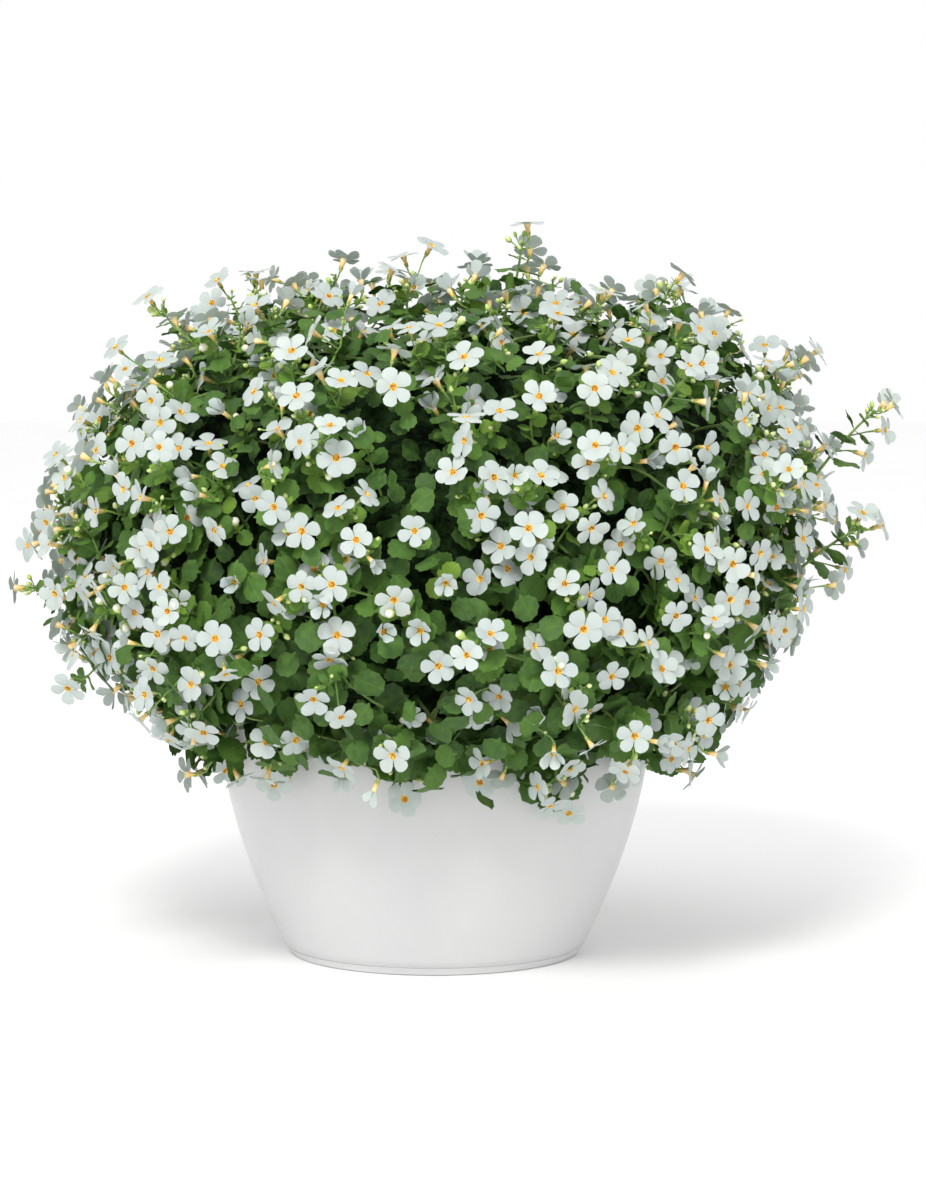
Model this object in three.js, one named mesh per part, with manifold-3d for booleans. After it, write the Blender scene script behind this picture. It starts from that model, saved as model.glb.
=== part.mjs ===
// A potted bacopa: a tapered round pot, the soil that fills it, and the leafy flowering branches
// that stand in the soil, mound over the rim and hang down outside it as a skirt.
// Millimetres, +Z up. The origin is the centre of the pot's flat base, on the ground.
// The front of the plant faces -Y.
import * as THREE from "three";
import { mergeVertices } from "three/addons/utils/BufferGeometryUtils.js";
import Module from "manifold-3d";

const wasm = await Module();
wasm.setup();

// Pot: radius and height of the outside, from the foot up to the rolled lip.
const potSides = 28;
const potWall = 2.4;
const potFloor = 3;
const footRadius = 80;
const footBevel = 1.2;
const rimRadius = 120;
const potHeight = 138;
const lipDepth = 8;
const lipReach = 2.2;
const lipRound = 1.4;
const potFlare = 1.8; // the wall swells out low down and stands nearly upright at the rim
const wallSteps = 4;

// Soil
const soilTop = 122;
const soilGap = 0.35; // between the soil and the pot's floor
const soilSideGap = 1.05;
const soilFootGap = 1.75;
const soilSteps = 3;
const soilCrown = 2;
const soilRoughness = 1.2;
const soilRings = 2;
const soilSmoothEdge = 0.9; // the share of its radius outside which the soil's top is smooth
const soilSeed = 7;

// Mound of foliage: a rounded outline turned about the pot's axis, higher than it droops.
const moundHeart = 215;
const moundHalfWidth = 232;
const moundRise = 163;
const moundDrop = 130;
const moundSquareness = 2.6;
const skirtEnd = 149; // degrees from the top, round the outline, to the skirt's lower edge

// Where the plant grew out further than an even mound, or less far: a direction from the heart
// of the mound (degrees round from +X, degrees down from the top), its spread and the share.
const swells = [
  { round: 180, down: 122, spread: 25, share: -0.15 },
  { round: 180, down: 72, spread: 34, share: -0.055 },
  { round: 0, down: 110, spread: 24, share: -0.17 },
  { round: -90, down: 128, spread: 26, share: 0.04 },
  { round: 5, down: 62, spread: 24, share: 0.02 },
  { round: 5, down: 20, spread: 18, share: 0.035 },
  { round: 100, down: 60, spread: 30, share: 0.03 },
];
// Smaller swells and hollows besides, spread evenly: each has up to half this share, either way.
const lumpCount = 26;
const lumpSpread = 10;
const lumpShare = 0.075;

// Branches: each fills one cell of the mound, seen from the root point deep in the pot.
// Rings of cells go from the crown down to the skirt; `from` is degrees off the vertical.
// The hub is where a branch's long shoots spread from, the tail is the inner end of its heart.
const rootPoint = new THREE.Vector3(0, 0, 40);
const branchRings = [
  {
    name: "crown_branch", count: 1, from: 0, stemAt: 0,
    hub: { off: 0, reach: 215 }, tail: { off: 0, reach: 150 },
  },
  {
    name: "upper_branch", count: 5, from: 10, stemAt: 26,
    hub: { off: 18, reach: 215 }, tail: { off: 18, reach: 150 },
  },
  {
    name: "middle_branch", count: 8, from: 25, stemAt: 57,
    hub: { off: 34, reach: 215 }, tail: { off: 34, reach: 150 },
  },
  {
    name: "skirt_branch", count: 12, from: 43, stemAt: 92,
    hub: { off: 55, reach: 187 }, tail: { off: 50, reach: 166 },
  },
];
const skirtLimit = 120; // degrees off the vertical of the lowest place that is still the skirt's
const stemRadius = 2.3;
const stemSides = 4;
const stemDepth = 13;
const stemGap = 0.3;
const stemOverRim = { radius: 104, height: 152 };
// The heart of a branch is laid with folded leaves, somewhat larger than life, in staggered rows.
const coreDepth = 17; // how far its surface lies under the tips
const scaleWidth = 40;
const scaleRow = 18; // half the length of a leaf that shows
const leastColumns = 3; // of leaves across a branch
const scaleSunk = 5;
const scaleRaised = [3, 8];
const scaleOverhang = 0.3; // the share of a row that a leaf's tip reaches over the next leaf's root
const scaleUneven = 0.22; // of a column or a row
const coreGap = [0.8, 2.2]; // least and most to the sides of the cell
const corePotGap = 10;
const shootPotGap = 5;

// Side shoots: how many the even mound has, and how their roots sit in the heart of the branch.
const shootCount = 64;
const rootDepth = 3;
const leafAside = 15;
const leafRise = 1.4;
const shootRadius = 1.2;
const shootSides = 4;
const tipUnevenness = 12;
const tipUnevenShare = 0.35;
const tipGap = 7; // from a shoot's tip to the side of its branch's cell
const bladeGap = 0.5; // from a leaf or bloom to the side of the cell
const potClearance = 2.5;
const strayBend = 0.55;
const strayArch = 6;
// An even spread over a square: each number's steps round and down the mound.
const spreadStart = 0.5;
const spreadRound = 0.7548776662466927;
const spreadDown = 0.5698402909980532;

// Leaves of a spray: share of the way up it, which side, and the turn about it.
const strayLeaves = [
  [0.4, 1, 0],
  [0.62, -1, 30],
  [0.84, 1, 60],
];
const smallLeaf = 12.5; // near the top of the mound
const largeLeaf = 18; // low in the skirt
const leafVariety = 0.3;
const leafSmallAbove = 340;
const leafGrowth = 180;
const leafForward = 0.45;
const leafLift = 0.5;
const leafTilt = 0.5;
const leafThickness = 0.9;
const leafBreadth = 0.96;
const leafDroop = 0.16;
const leafCup = 0.14;
const leafWaist = 0.5;
// The leaf's edge from base to tip: out to a tooth, back in beside it, and so on.
const leafTeeth = [
  [0.16, 0.05],
  [0.3, 0.44],
  [0.48, 0.39],
  [0.72, 0.44],
];

// Blooms of a spray: share of the way up it, the turn about it, and how far the stalk leans aside.
const strayBlooms = [
  [0.95, 0, 0.25],
  [0.75, 180, 2],
];
const petalCount = 5;
const petalHalfAngle = 22;
const bloomRadius = 10;
const throatRadius = 3.4;
const bloomCup = 0.9;
const bloomBoss = 0.3;
const bloomStalk = 12.5;
const bloomTilt = 1;
const bloomOut = 0.35;
const bloomLift = 0.15;
const bloomKeep = 12; // at most, from a bloom's centre to the side of the cell

const blendSteps = 5;
const halvings = 24;
const outlineSteps = 120;
const nearlyNothing = 1e-6;
const weldGrids = [1000, 10000]; // steps in a millimetre to which corners may be rounded
const leastEdge = 0.004;
const nudges = 8;
const nudgeStep = 0.07;
const lumpSeed = 300;
const coreSeed = 1000;
const shootSeed = 5000;
const straySeed = 9000;

// Long stray sprays that stand or hang out of the mound, by the place of their tips.
const straySprays = [
  [50, -30, 401],
  [-154, -40, 362],
  [134, -40, 374],
  [211, 10, 331],
  [250, -15, 303],
  [243, -30, 238],
  [-229, -25, 203],
  [-121, -62, 124],
  [-84, -104, 106],
  [-15, -134, 103],
  [71, -113, 92],
  [138, -62, 108],
  [20, 140, 108],
  [24, -138, 112],
  [-52, -128, 120],
  [106, -92, 112],
  [163, 42, 124],
  [-158, 38, 132],
  [-88, 112, 114],
  [98, 112, 102],
];

const green = new THREE.Color("#4d7d2c");
const shadedGreen = new THREE.Color("#34571f");
const white = new THREE.Color("#f4f5f7");

const radians = THREE.MathUtils.degToRad;
const up = new THREE.Vector3(0, 0, 1);
const besideUp = new THREE.Vector3(1, 0.2, 0.1);
const nearUp = new THREE.Vector3(0.3, 0.2, 1); // leans a little, so that hardly anything lies along it

// A seeded draw: the same numbers from 0 to 1 on every run.
function drawsFrom(seed) {
  let state = seed >>> 0;
  return () => {
    state = (state + 0x6d2b79f5) >>> 0;
    let mixed = Math.imul(state ^ (state >>> 15), state | 1);
    mixed ^= mixed + Math.imul(mixed ^ (mixed >>> 7), mixed | 61);
    return ((mixed ^ (mixed >>> 14)) >>> 0) / 2 ** 32;
  };
}

// A closed solid of one colour from its corners and its triangles, which face outwards.
function solidFrom(corners, triangles, colour = green) {
  const properties = corners.flatMap((corner) => [...corner.toArray(), ...colour.toArray()]);
  return new wasm.Manifold(
    new wasm.Mesh({
      numProp: 6,
      vertProperties: new Float32Array(properties),
      triVerts: new Uint32Array(triangles.flat()),
    }),
  );
}

function solidOf({ corners, triangles, colour }) {
  return solidFrom(corners, triangles, colour);
}

function pieceFromGeometry(geometry) {
  geometry.deleteAttribute("normal");
  geometry.deleteAttribute("uv");
  const merged = mergeVertices(geometry);
  const corners = [];
  for (let i = 0; i < merged.attributes.position.count; i += 1) {
    corners.push(new THREE.Vector3().fromBufferAttribute(merged.attributes.position, i));
  }
  const triangles = [];
  for (let i = 0; i < merged.index.count; i += 3) {
    triangles.push([0, 1, 2].map((j) => merged.index.getX(i + j)));
  }
  return { corners, triangles };
}

function meshFrom(name, solid, material) {
  const made = solid.getMesh();
  const places = new Float32Array(made.numVert * 3);
  const colours = new Float32Array(made.numVert * 3);
  for (let i = 0; i < made.numVert; i += 1) {
    places.set(made.vertProperties.subarray(i * 6, i * 6 + 3), i * 3);
    colours.set(made.vertProperties.subarray(i * 6 + 3, i * 6 + 6), i * 3);
  }
  const geometry = new THREE.BufferGeometry();
  geometry.setAttribute("position", new THREE.BufferAttribute(places, 3));
  geometry.setAttribute("color", new THREE.BufferAttribute(colours, 3));
  geometry.setIndex(new THREE.BufferAttribute(made.triVerts, 1));
  geometry.computeVertexNormals();
  const mesh = new THREE.Mesh(geometry, material);
  mesh.name = name;
  return mesh;
}

// Whether each edge of a solid has some length, and still lies between just two triangles once its
// corners are rounded.
function staysClosed(solid) {
  const made = solid.getMesh();
  for (let i = 0; i < made.triVerts.length; i += 1) {
    const ends = [i, i % 3 === 2 ? i - 2 : i + 1].map((j) => {
      const start = made.triVerts[j] * 6;
      return new THREE.Vector3(...made.vertProperties.subarray(start, start + 3));
    });
    if (ends[0].distanceTo(ends[1]) < leastEdge) return false;
  }
  return weldGrids.every((grid) => {
    const corners = [];
    for (let i = 0; i < made.numVert; i += 1) {
      const place = made.vertProperties.subarray(i * 6, i * 6 + 3);
      corners.push([...place].map((value) => Math.round(value * grid)).join(" "));
    }
    const edges = new Set();
    for (let i = 0; i < made.triVerts.length; i += 3) {
      const [a, b, c] = [0, 1, 2].map((j) => corners[made.triVerts[i + j]]);
      if (a === b || b === c || c === a) continue;
      for (const edge of [`${a}/${b}`, `${b}/${c}`, `${c}/${a}`]) {
        if (edges.has(edge)) return false;
        edges.add(edge);
      }
    }
    return true;
  });
}

// Join a solid to a body, and keep the one body that they make, with no hollow sealed inside it.
function joined(body, solid) {
  const bodies = body.add(solid).decompose();
  return bodies.reduce((best, one) => (one.volume() > best.volume() ? one : best));
}

// Join pieces one by one. A piece whose corners fall too close to others is moved a hair aside.
function fused(body, pieces) {
  let whole = body;
  for (const { corners, triangles, colour } of pieces) {
    for (let i = 0; i < nudges; i += 1) {
      const nudge = new THREE.Vector3(i, -i, i).multiplyScalar(nudgeStep);
      const moved = corners.map((corner) => corner.clone().add(nudge));
      const larger = joined(whole, solidFrom(moved, triangles, colour));
      if (!staysClosed(larger)) continue;
      whole = larger;
      break;
    }
  }
  return whole;
}

// Pot

function potRadiusAt(height) {
  const share = THREE.MathUtils.clamp(height / potHeight, 0, 1);
  return rimRadius - (rimRadius - footRadius) * (1 - share) ** potFlare;
}

// A profile of radius and height turned about Z.
function turned(profile, sides) {
  const points = profile.map(([radius, height]) => new THREE.Vector2(radius, height));
  return new THREE.LatheGeometry(points, sides).rotateX(Math.PI / 2);
}

function pot() {
  const outside = [
    [0, 0],
    [footRadius - footBevel, 0],
    [footRadius, footBevel],
  ];
  for (let i = 1; i <= wallSteps; i += 1) {
    const height = ((potHeight - lipDepth) * i) / wallSteps;
    outside.push([potRadiusAt(height), height]);
  }
  const lipRadius = rimRadius + lipReach;
  const lip = [
    [lipRadius, potHeight - lipDepth + lipRound],
    [lipRadius, potHeight - lipRound],
    [lipRadius - lipRound, potHeight],
    [rimRadius - potWall, potHeight],
  ];
  const inside = [];
  for (let i = wallSteps - 1; i >= 1; i -= 1) {
    const height = potFloor + ((potHeight - potFloor) * i) / wallSteps;
    inside.push([potRadiusAt(height) - potWall, height]);
  }
  inside.push([potRadiusAt(potFloor) - potWall, potFloor], [0, potFloor]);
  return solidOf(pieceFromGeometry(turned([...outside, ...lip, ...inside], potSides)));
}

function soil() {
  const floor = potFloor + soilGap;
  const profile = [[0, floor]];
  for (let i = 0; i <= soilSteps; i += 1) {
    const height = THREE.MathUtils.lerp(floor, soilTop, i / soilSteps);
    const gap = i === 0 ? soilFootGap : soilSideGap;
    profile.push([potRadiusAt(height) - potWall - gap, height]);
  }
  const edge = profile.at(-1)[0];
  for (let i = soilRings - 1; i >= 0; i -= 1) {
    const share = i / soilRings;
    profile.push([edge * share, soilTop + soilCrown * (1 - share * share)]);
  }
  const geometry = turned(profile, potSides);
  const draw = drawsFrom(soilSeed);
  const bumps = new Map();
  const places = geometry.attributes.position;
  for (let i = 0; i < places.count; i += 1) {
    const radius = Math.hypot(places.getX(i), places.getY(i));
    if (places.getZ(i) <= soilTop || radius > edge * soilSmoothEdge) continue;
    const key = `${places.getX(i).toFixed(2)} ${places.getY(i).toFixed(2)}`;
    const alike = key.replaceAll("-0.00", "0.00");
    if (!bumps.has(alike)) bumps.set(alike, (draw() - 0.5) * 2 * soilRoughness);
    places.setZ(i, places.getZ(i) + bumps.get(alike));
  }
  return branches
    .map((branch) => stemHole(branch))
    .reduce((left, hole) => left.subtract(solidOf(hole)), solidOf(pieceFromGeometry(geometry)));
}

// Mound

// Radius and height of the even mound's outline, `down` degrees from its top.
function moundOutline(down) {
  const bend = 2 / moundSquareness;
  const sine = Math.sin(radians(down));
  const cosine = Math.cos(radians(down));
  const reach = cosine > 0 ? moundRise : moundDrop;
  return [
    moundHalfWidth * Math.abs(sine) ** bend,
    moundHeart + Math.sign(cosine) * reach * Math.abs(cosine) ** bend,
  ];
}

function directionTo(round, down) {
  return new THREE.Vector3().setFromSphericalCoords(1, radians(down), radians(round) + Math.PI / 2)
    .applyAxisAngle(new THREE.Vector3(1, 0, 0), Math.PI / 2);
}

// The mound's own surface with its swells, `under` millimetres beneath the tips.
function moundPoint(round, down, under = 0) {
  const [radius, height] = moundOutline(down);
  const heart = new THREE.Vector3(0, 0, moundHeart);
  const place = new THREE.Vector3(
    radius * Math.cos(radians(round)),
    radius * Math.sin(radians(round)),
    height,
  ).sub(heart);
  const direction = place.clone().normalize();
  let grown = 1;
  for (const swell of allSwells) {
    const apart = direction.angleTo(directionTo(swell.round, swell.down));
    grown += swell.share * Math.exp(-((apart / radians(swell.spread)) ** 2) / 2);
  }
  place.multiplyScalar(grown);
  place.addScaledVector(moundNormal(round, down), -under);
  return place.add(heart);
}

function moundNormal(round, down) {
  const [radius, height] = moundOutline(down);
  const rise = height - moundHeart;
  const reach = rise > 0 ? moundRise : moundDrop;
  const power = moundSquareness - 1;
  const outwards = (radius / moundHalfWidth) ** power / moundHalfWidth;
  const upwards = (Math.sign(rise) * Math.abs(rise / reach) ** power) / reach;
  return new THREE.Vector3(
    outwards * Math.cos(radians(round)),
    outwards * Math.sin(radians(round)),
    upwards,
  ).normalize();
}

// The outline walked in small steps: how far along it each step is, and the surface above it.
function walkedOutline() {
  const steps = [{ down: 0, length: 0, area: 0 }];
  for (let i = 1; i <= outlineSteps; i += 1) {
    const down = (skirtEnd * i) / outlineSteps;
    const before = steps.at(-1);
    const [r0, z0] = moundOutline(before.down);
    const [r1, z1] = moundOutline(down);
    const length = Math.hypot(r1 - r0, z1 - z0);
    steps.push({ down, length: before.length + length, area: before.area + (length * (r0 + r1)) / 2 });
  }
  return steps;
}

// Look up one measure of the walked outline, such as `down`, where another has the given value.
function lookUp(wanted, given, value) {
  const above = Math.max(1, outline.findIndex((step) => step[given] >= value));
  const [low, high] = [outline[above - 1], outline[above]];
  const part = (value - low[given]) / (high[given] - low[given]);
  return THREE.MathUtils.lerp(low[wanted], high[wanted], part);
}

function downAtShare(share) {
  return lookUp("down", "area", share * outline.at(-1).area);
}

function evenLumps() {
  const lumps = [];
  for (let i = 0; i < lumpCount; i += 1) {
    const down = downAtShare((i * spreadDown) % 1);
    const share = lumpShare * (drawsFrom(lumpSeed + i)() - 0.5);
    lumps.push({ round: 360 * ((i * spreadRound) % 1), down, spread: lumpSpread, share });
  }
  return lumps;
}

// Cells

function cellsOfBranches() {
  const cells = [];
  branchRings.forEach((ring, ringNumber) => {
    const next = branchRings[ringNumber + 1];
    for (let i = 0; i < ring.count; i += 1) {
      const width = 360 / ring.count;
      const name = ring.count > 1 ? `${ring.name}_${String(i + 1).padStart(2, "0")}` : ring.name;
      cells.push({
        name,
        ring,
        number: cells.length,
        width,
        round: -90 + width * i + (ringNumber % 2 ? 0 : width / 2),
        from: ring.from,
        to: next ? next.from : skirtLimit,
        last: !next,
      });
    }
  });
  return cells;
}

// A place as seen from the root point: degrees round, degrees off the vertical, distance.
function rootView(place) {
  const offset = place.clone().sub(rootPoint);
  return {
    round: THREE.MathUtils.radToDeg(Math.atan2(offset.y, offset.x)),
    off: THREE.MathUtils.radToDeg(Math.atan2(Math.hypot(offset.x, offset.y), offset.z)),
    distance: offset.length(),
    radius: Math.hypot(offset.x, offset.y),
  };
}

function placeInRootView({ round, off, distance }) {
  return new THREE.Vector3(
    distance * Math.sin(radians(off)) * Math.cos(radians(round)),
    distance * Math.sin(radians(off)) * Math.sin(radians(round)),
    distance * Math.cos(radians(off)),
  ).add(rootPoint);
}

function turnBetween(from, to) {
  return ((((to - from) % 360) + 540) % 360) - 180;
}

function cellAt(place) {
  const view = rootView(place);
  return branches.find(
    (cell) =>
      view.off >= cell.from &&
      (view.off < cell.to || cell.last) &&
      (cell.ring.count === 1 || Math.abs(turnBetween(cell.round, view.round)) <= cell.width / 2),
  );
}

// Move a place into its cell, at least `gap` millimetres from the cell's sides.
function keptInCell(place, cell, gap) {
  const view = rootView(place);
  const offGap = THREE.MathUtils.radToDeg(gap / view.distance);
  const lowest = cell.from > 0 ? cell.from + offGap : 0;
  const off = THREE.MathUtils.clamp(view.off, lowest, cell.last ? skirtLimit : cell.to - offGap);
  const radius = Math.max(1, view.distance * Math.sin(radians(off)));
  const free = Math.max(0, cell.width / 2 - THREE.MathUtils.radToDeg(gap / radius));
  const turn = turnBetween(cell.round, view.round);
  const round = cell.ring.count === 1 ? view.round : cell.round + THREE.MathUtils.clamp(turn, -free, free);
  return placeInRootView({ round, off, distance: view.distance });
}

// The place as far out as this one in the middle of its cell.
function middleBeside(place, cell) {
  const view = rootView(place);
  const off = cell.last ? view.off : (cell.from + cell.to) / 2;
  return placeInRootView({ round: cell.round, off: cell.from > 0 ? off : 0, distance: view.distance });
}

// Move a place beside or under the rim out past the pot's lip.
function keptOffPot(place, gap) {
  const least = rimRadius + lipReach + gap;
  const radius = Math.hypot(place.x, place.y);
  if (place.z > potHeight + gap || radius >= least) return place;
  return new THREE.Vector3((place.x * least) / radius, (place.y * least) / radius, place.z);
}

function isClear(corners, cell) {
  return corners.every((corner) => {
    const kept = keptOffPot(keptInCell(corner, cell, bladeGap), potClearance);
    return kept.distanceTo(corner) < nearlyNothing;
  });
}

// Stems and shoots

// A stem of a few sides along a chain of points, with the middle of one side `towards` a way.
function rod(points, radii, sides, towards = besideUp) {
  const corners = [];
  const triangles = [];
  let side = towards;
  for (let i = 0; i < points.length; i += 1) {
    const before = points[Math.max(0, i - 1)];
    const after = points[Math.min(points.length - 1, i + 1)];
    const along = after.clone().sub(before).normalize();
    side = side.clone().addScaledVector(along, -side.dot(along)).normalize();
    const across = along.clone().cross(side);
    for (let j = 0; j < sides; j += 1) {
      const angle = (2 * Math.PI * (j + 0.5)) / sides;
      corners.push(
        points[i].clone()
          .addScaledVector(side, radii[i] * Math.cos(angle))
          .addScaledVector(across, radii[i] * Math.sin(angle)),
      );
    }
  }
  for (let i = 0; i < points.length - 1; i += 1) {
    for (let j = 0; j < sides; j += 1) {
      const a = i * sides + j;
      const b = i * sides + ((j + 1) % sides);
      triangles.push([a, b, b + sides], [a, b + sides, a + sides]);
    }
  }
  const top = (points.length - 1) * sides;
  for (let j = 1; j < sides - 1; j += 1) triangles.push([0, j + 1, j], [top, top + j, top + j + 1]);
  return { corners, triangles };
}

function standingPlace(cell, radius, height) {
  return new THREE.Vector3(
    radius * Math.cos(radians(cell.round)),
    radius * Math.sin(radians(cell.round)),
    height,
  );
}

function stemHole(cell) {
  const foot = standingPlace(cell, cell.ring.stemAt, soilTop - stemDepth - stemGap);
  const mouth = standingPlace(cell, cell.ring.stemAt, soilTop + 3 * soilCrown);
  const radius = stemRadius + 2 * stemGap;
  return rod([foot, mouth], [radius, radius], stemSides);
}

function placeOnRay(cell, { off, reach }) {
  return placeInRootView({ round: cell.round, off, distance: reach });
}

// The middle of a branch, from which its long shoots spread.
function hubOf(cell) {
  return placeOnRay(cell, cell.ring.hub);
}

function stem(cell) {
  const route = [
    standingPlace(cell, cell.ring.stemAt, soilTop - stemDepth),
    standingPlace(cell, cell.ring.stemAt, soilTop + 2 * soilCrown),
  ];
  if (cell.last) route.push(standingPlace(cell, stemOverRim.radius, stemOverRim.height));
  route.push(hubOf(cell));
  return rod(route, route.map(() => stemRadius), stemSides);
}

// The leafy heart of a branch: a wedge of close twigs whose outer face is laid with leaves, over a
// tail that the stem runs into. A leaf is folded along its middle. It rises from a sunk root to a
// tip that stands out over the root of the leaf two rows down.
function core(cell) {
  const draw = drawsFrom(coreSeed + cell.number);
  const whole = cell.ring.count === 1;
  const first = whole ? 0 : downSeenAt(cell.round, cell.from);
  const last = cell.last ? skirtEnd : downSeenAt(cell.round, cell.to);
  const [from, to] = [lookUp("length", "down", first), lookUp("length", "down", last)];
  const [middleRadius] = moundOutline(lookUp("down", "length", (from + to) / 2));
  const columns = Math.max(leastColumns, Math.round((middleRadius * radians(cell.width)) / scaleWidth));
  const rows = 2 * Math.round((to - from) / scaleRow / 2);
  const corners = [];
  const known = new Map();
  const addCorner = (row, column, lift) => {
    const turn = cell.width * (column / columns - 0.5);
    const down = lookUp("down", "length", THREE.MathUtils.lerp(from, to, Math.min(1, row / rows)));
    const gap = THREE.MathUtils.lerp(...coreGap, draw());
    const place = keptInCell(moundPoint(cell.round + turn, down, coreDepth - lift), cell, gap);
    corners.push(keptOffPot(place, corePotGap + scaleSunk + lift));
    return corners.length - 1;
  };
  const atSide = (row, column) => !whole && (column === 0 || column === columns);
  const uneven = () => scaleUneven * (draw() - 0.5) * 2;
  const root = (row, column) => {
    const shared = whole ? (column + columns) % columns : column;
    const key = whole && row === 0 ? "top" : `${row} ${shared}`;
    if (!known.has(key)) {
      const inside = row > 0 && row < rows && !atSide(row, shared);
      const [shift, slide] = inside ? [uneven(), uneven()] : [0, 0];
      known.set(key, addCorner(row + slide, shared + shift, -scaleSunk));
    }
    return known.get(key);
  };
  const triangles = [];
  const facets = [];
  const sides = [];
  for (let row = 0; row <= rows - 2; row += 1) {
    const half = (row % 2) / 2;
    for (let column = half; column <= columns - half; column += 1) {
      if (whole && column === columns) continue;
      const [base, next] = [root(row, column), root(row + 2, column)];
      const side = atSide(row, column);
      const reach = side ? -scaleUneven : scaleOverhang + uneven();
      const aside = side ? 0 : uneven();
      const tip = addCorner(row + 2 + reach, column + aside, THREE.MathUtils.lerp(...scaleRaised, draw()));
      if (whole || column > 0) {
        const left = root(row + 1, column - 0.5);
        triangles.push([base, left, tip], [tip, left, next]);
        facets.push([base, left, tip]);
      } else {
        sides.push([tip, base], [next, tip]);
      }
      if (whole || column < columns) {
        const right = root(row + 1, column + 0.5);
        triangles.push([base, tip, right], [right, tip, next]);
        facets.push([base, tip, right]);
      } else {
        sides.push([base, tip], [tip, next]);
      }
    }
  }
  for (let column = 0; column < columns; column += 1) {
    const [upper, beside] = [root(0, column), root(0, column + 1)];
    triangles.push([upper, root(1, column + 0.5), beside]);
    if (!whole) sides.push([upper, beside]);
    const [low, after] = [root(rows, column), root(rows, column + 1)];
    triangles.push([root(rows - 1, column + 0.5), low, after]);
    sides.push([after, low]);
  }
  const tail = corners.length;
  corners.push(placeOnRay(cell, cell.ring.tail));
  triangles.push(...sides.map(([a, b]) => [a, b, tail]));
  const places = facets.map((facet) => facet.map((i) => corners[i]));
  return { ...withoutSpares(corners, triangles), facets: places, colour: shadedGreen };
}

// Drop triangles that have shrunk to a line, and corners that no triangle uses.
function withoutSpares(corners, triangles) {
  const kept = triangles.filter(([a, b, c]) => a !== b && b !== c && c !== a);
  const used = [...new Set(kept.flat())].sort((a, b) => a - b);
  const places = new Map(used.map((corner, i) => [corner, i]));
  return {
    corners: used.map((i) => corners[i]),
    triangles: kept.map((triangle) => triangle.map((i) => places.get(i))),
  };
}

// Degrees down the mound's outline of the surface seen `off` degrees off the vertical.
function downSeenAt(round, off) {
  let low = 0;
  let high = skirtEnd;
  for (let i = 0; i < halvings; i += 1) {
    const middle = (low + high) / 2;
    if (rootView(moundPoint(round, middle)).off < off) low = middle;
    else high = middle;
  }
  return (low + high) / 2;
}

// Leaves and blooms

// A leaf: rounded, with blunt teeth, thin, drooping at the tip. `along` runs from its base to its
// tip and `face` is the way its upper side looks.
function leafCorners(base, along, face, length) {
  const across = face.clone().cross(along).normalize();
  const normal = along.clone().cross(across).normalize();
  const place = (x, y, z) =>
    base.clone()
      .addScaledVector(along, x * length)
      .addScaledVector(across, y * length * leafBreadth)
      .addScaledVector(normal, z - leafDroop * length * x * x);
  const edge = [...leafTeeth.map(([x, y]) => [x, -y]), [1, 0], ...leafTeeth.toReversed()];
  return [
    base,
    ...edge.map(([x, y]) => place(x, y, leafCup * length * Math.abs(y))),
    place(leafWaist, 0, 0),
    place(leafWaist, 0, -leafThickness),
  ];
}

// A closed blade: an outline with one corner before it and one behind.
function bladeFrom(corners, colour) {
  const count = corners.length - 2;
  const triangles = [];
  for (let i = 0; i < count; i += 1) {
    const next = (i + 1) % count;
    triangles.push([count, i, next], [count + 1, next, i]);
  }
  return { corners, triangles, colour };
}

// A bloom: five separate lobes spread round a throat, with a funnel behind that tapers to `root`.
function bloomCorners(centre, facing, root, twist) {
  const side = nearUp.clone().cross(facing).normalize();
  const other = facing.clone().cross(side).normalize();
  const place = (radius, degrees, forward) =>
    centre.clone()
      .addScaledVector(side, radius * Math.cos(radians(degrees + twist)))
      .addScaledVector(other, radius * Math.sin(radians(degrees + twist)))
      .addScaledVector(facing, forward);
  const corners = [];
  for (let i = 0; i < petalCount; i += 1) {
    const middle = (360 * i) / petalCount;
    corners.push(place(throatRadius, middle - 180 / petalCount, -bloomCup));
    corners.push(place(bloomRadius, middle - petalHalfAngle, 0));
    corners.push(place(bloomRadius, middle + petalHalfAngle, 0));
  }
  return [...corners, centre.clone().addScaledVector(facing, bloomBoss), root];
}

function bloomFrom(corners) {
  const rim = 3 * petalCount;
  const root = rim + 1;
  const throatTriangles = [
    [root, 6, 0],
    [6, 3, 0],
    [root, 9, 6],
    [root, 0, 9],
    [9, 0, 12],
  ];
  const triangles = [];
  for (let i = 0; i < rim; i += 1) triangles.push([rim, i, (i + 1) % rim]);
  for (let i = 0; i < rim; i += 3) {
    const next = (i + 3) % rim;
    triangles.push([i, i + 2, i + 1], [i, next, i + 2]);
  }
  return { corners, triangles: [...triangles, ...throatTriangles], colour: white };
}

// Shoots

// The tip of a shoot, spread evenly over the mound, and the way the mound faces there.
function evenTip(number) {
  const round = 360 * ((spreadStart + number * spreadRound) % 1);
  const down = downAtShare((spreadStart + number * spreadDown) % 1);
  const draw = drawsFrom(shootSeed + number);
  const place = moundPoint(round, down, tipUnevenness * (draw() - tipUnevenShare));
  return { place, face: moundNormal(round, down), draw };
}

function strayTip(place, number) {
  const face = place.clone().sub(new THREE.Vector3(0, 0, moundHeart)).normalize();
  return { place, face, draw: drawsFrom(straySeed + number), stray: true };
}

// Blades are bent towards the middle of their branch until they are clear of its sides.
function clearCorners(cell, makeCorners) {
  for (let i = 0; i <= blendSteps; i += 1) {
    const corners = makeCorners(i / blendSteps);
    if (isClear(corners, cell)) return corners;
  }
  return null;
}

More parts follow.
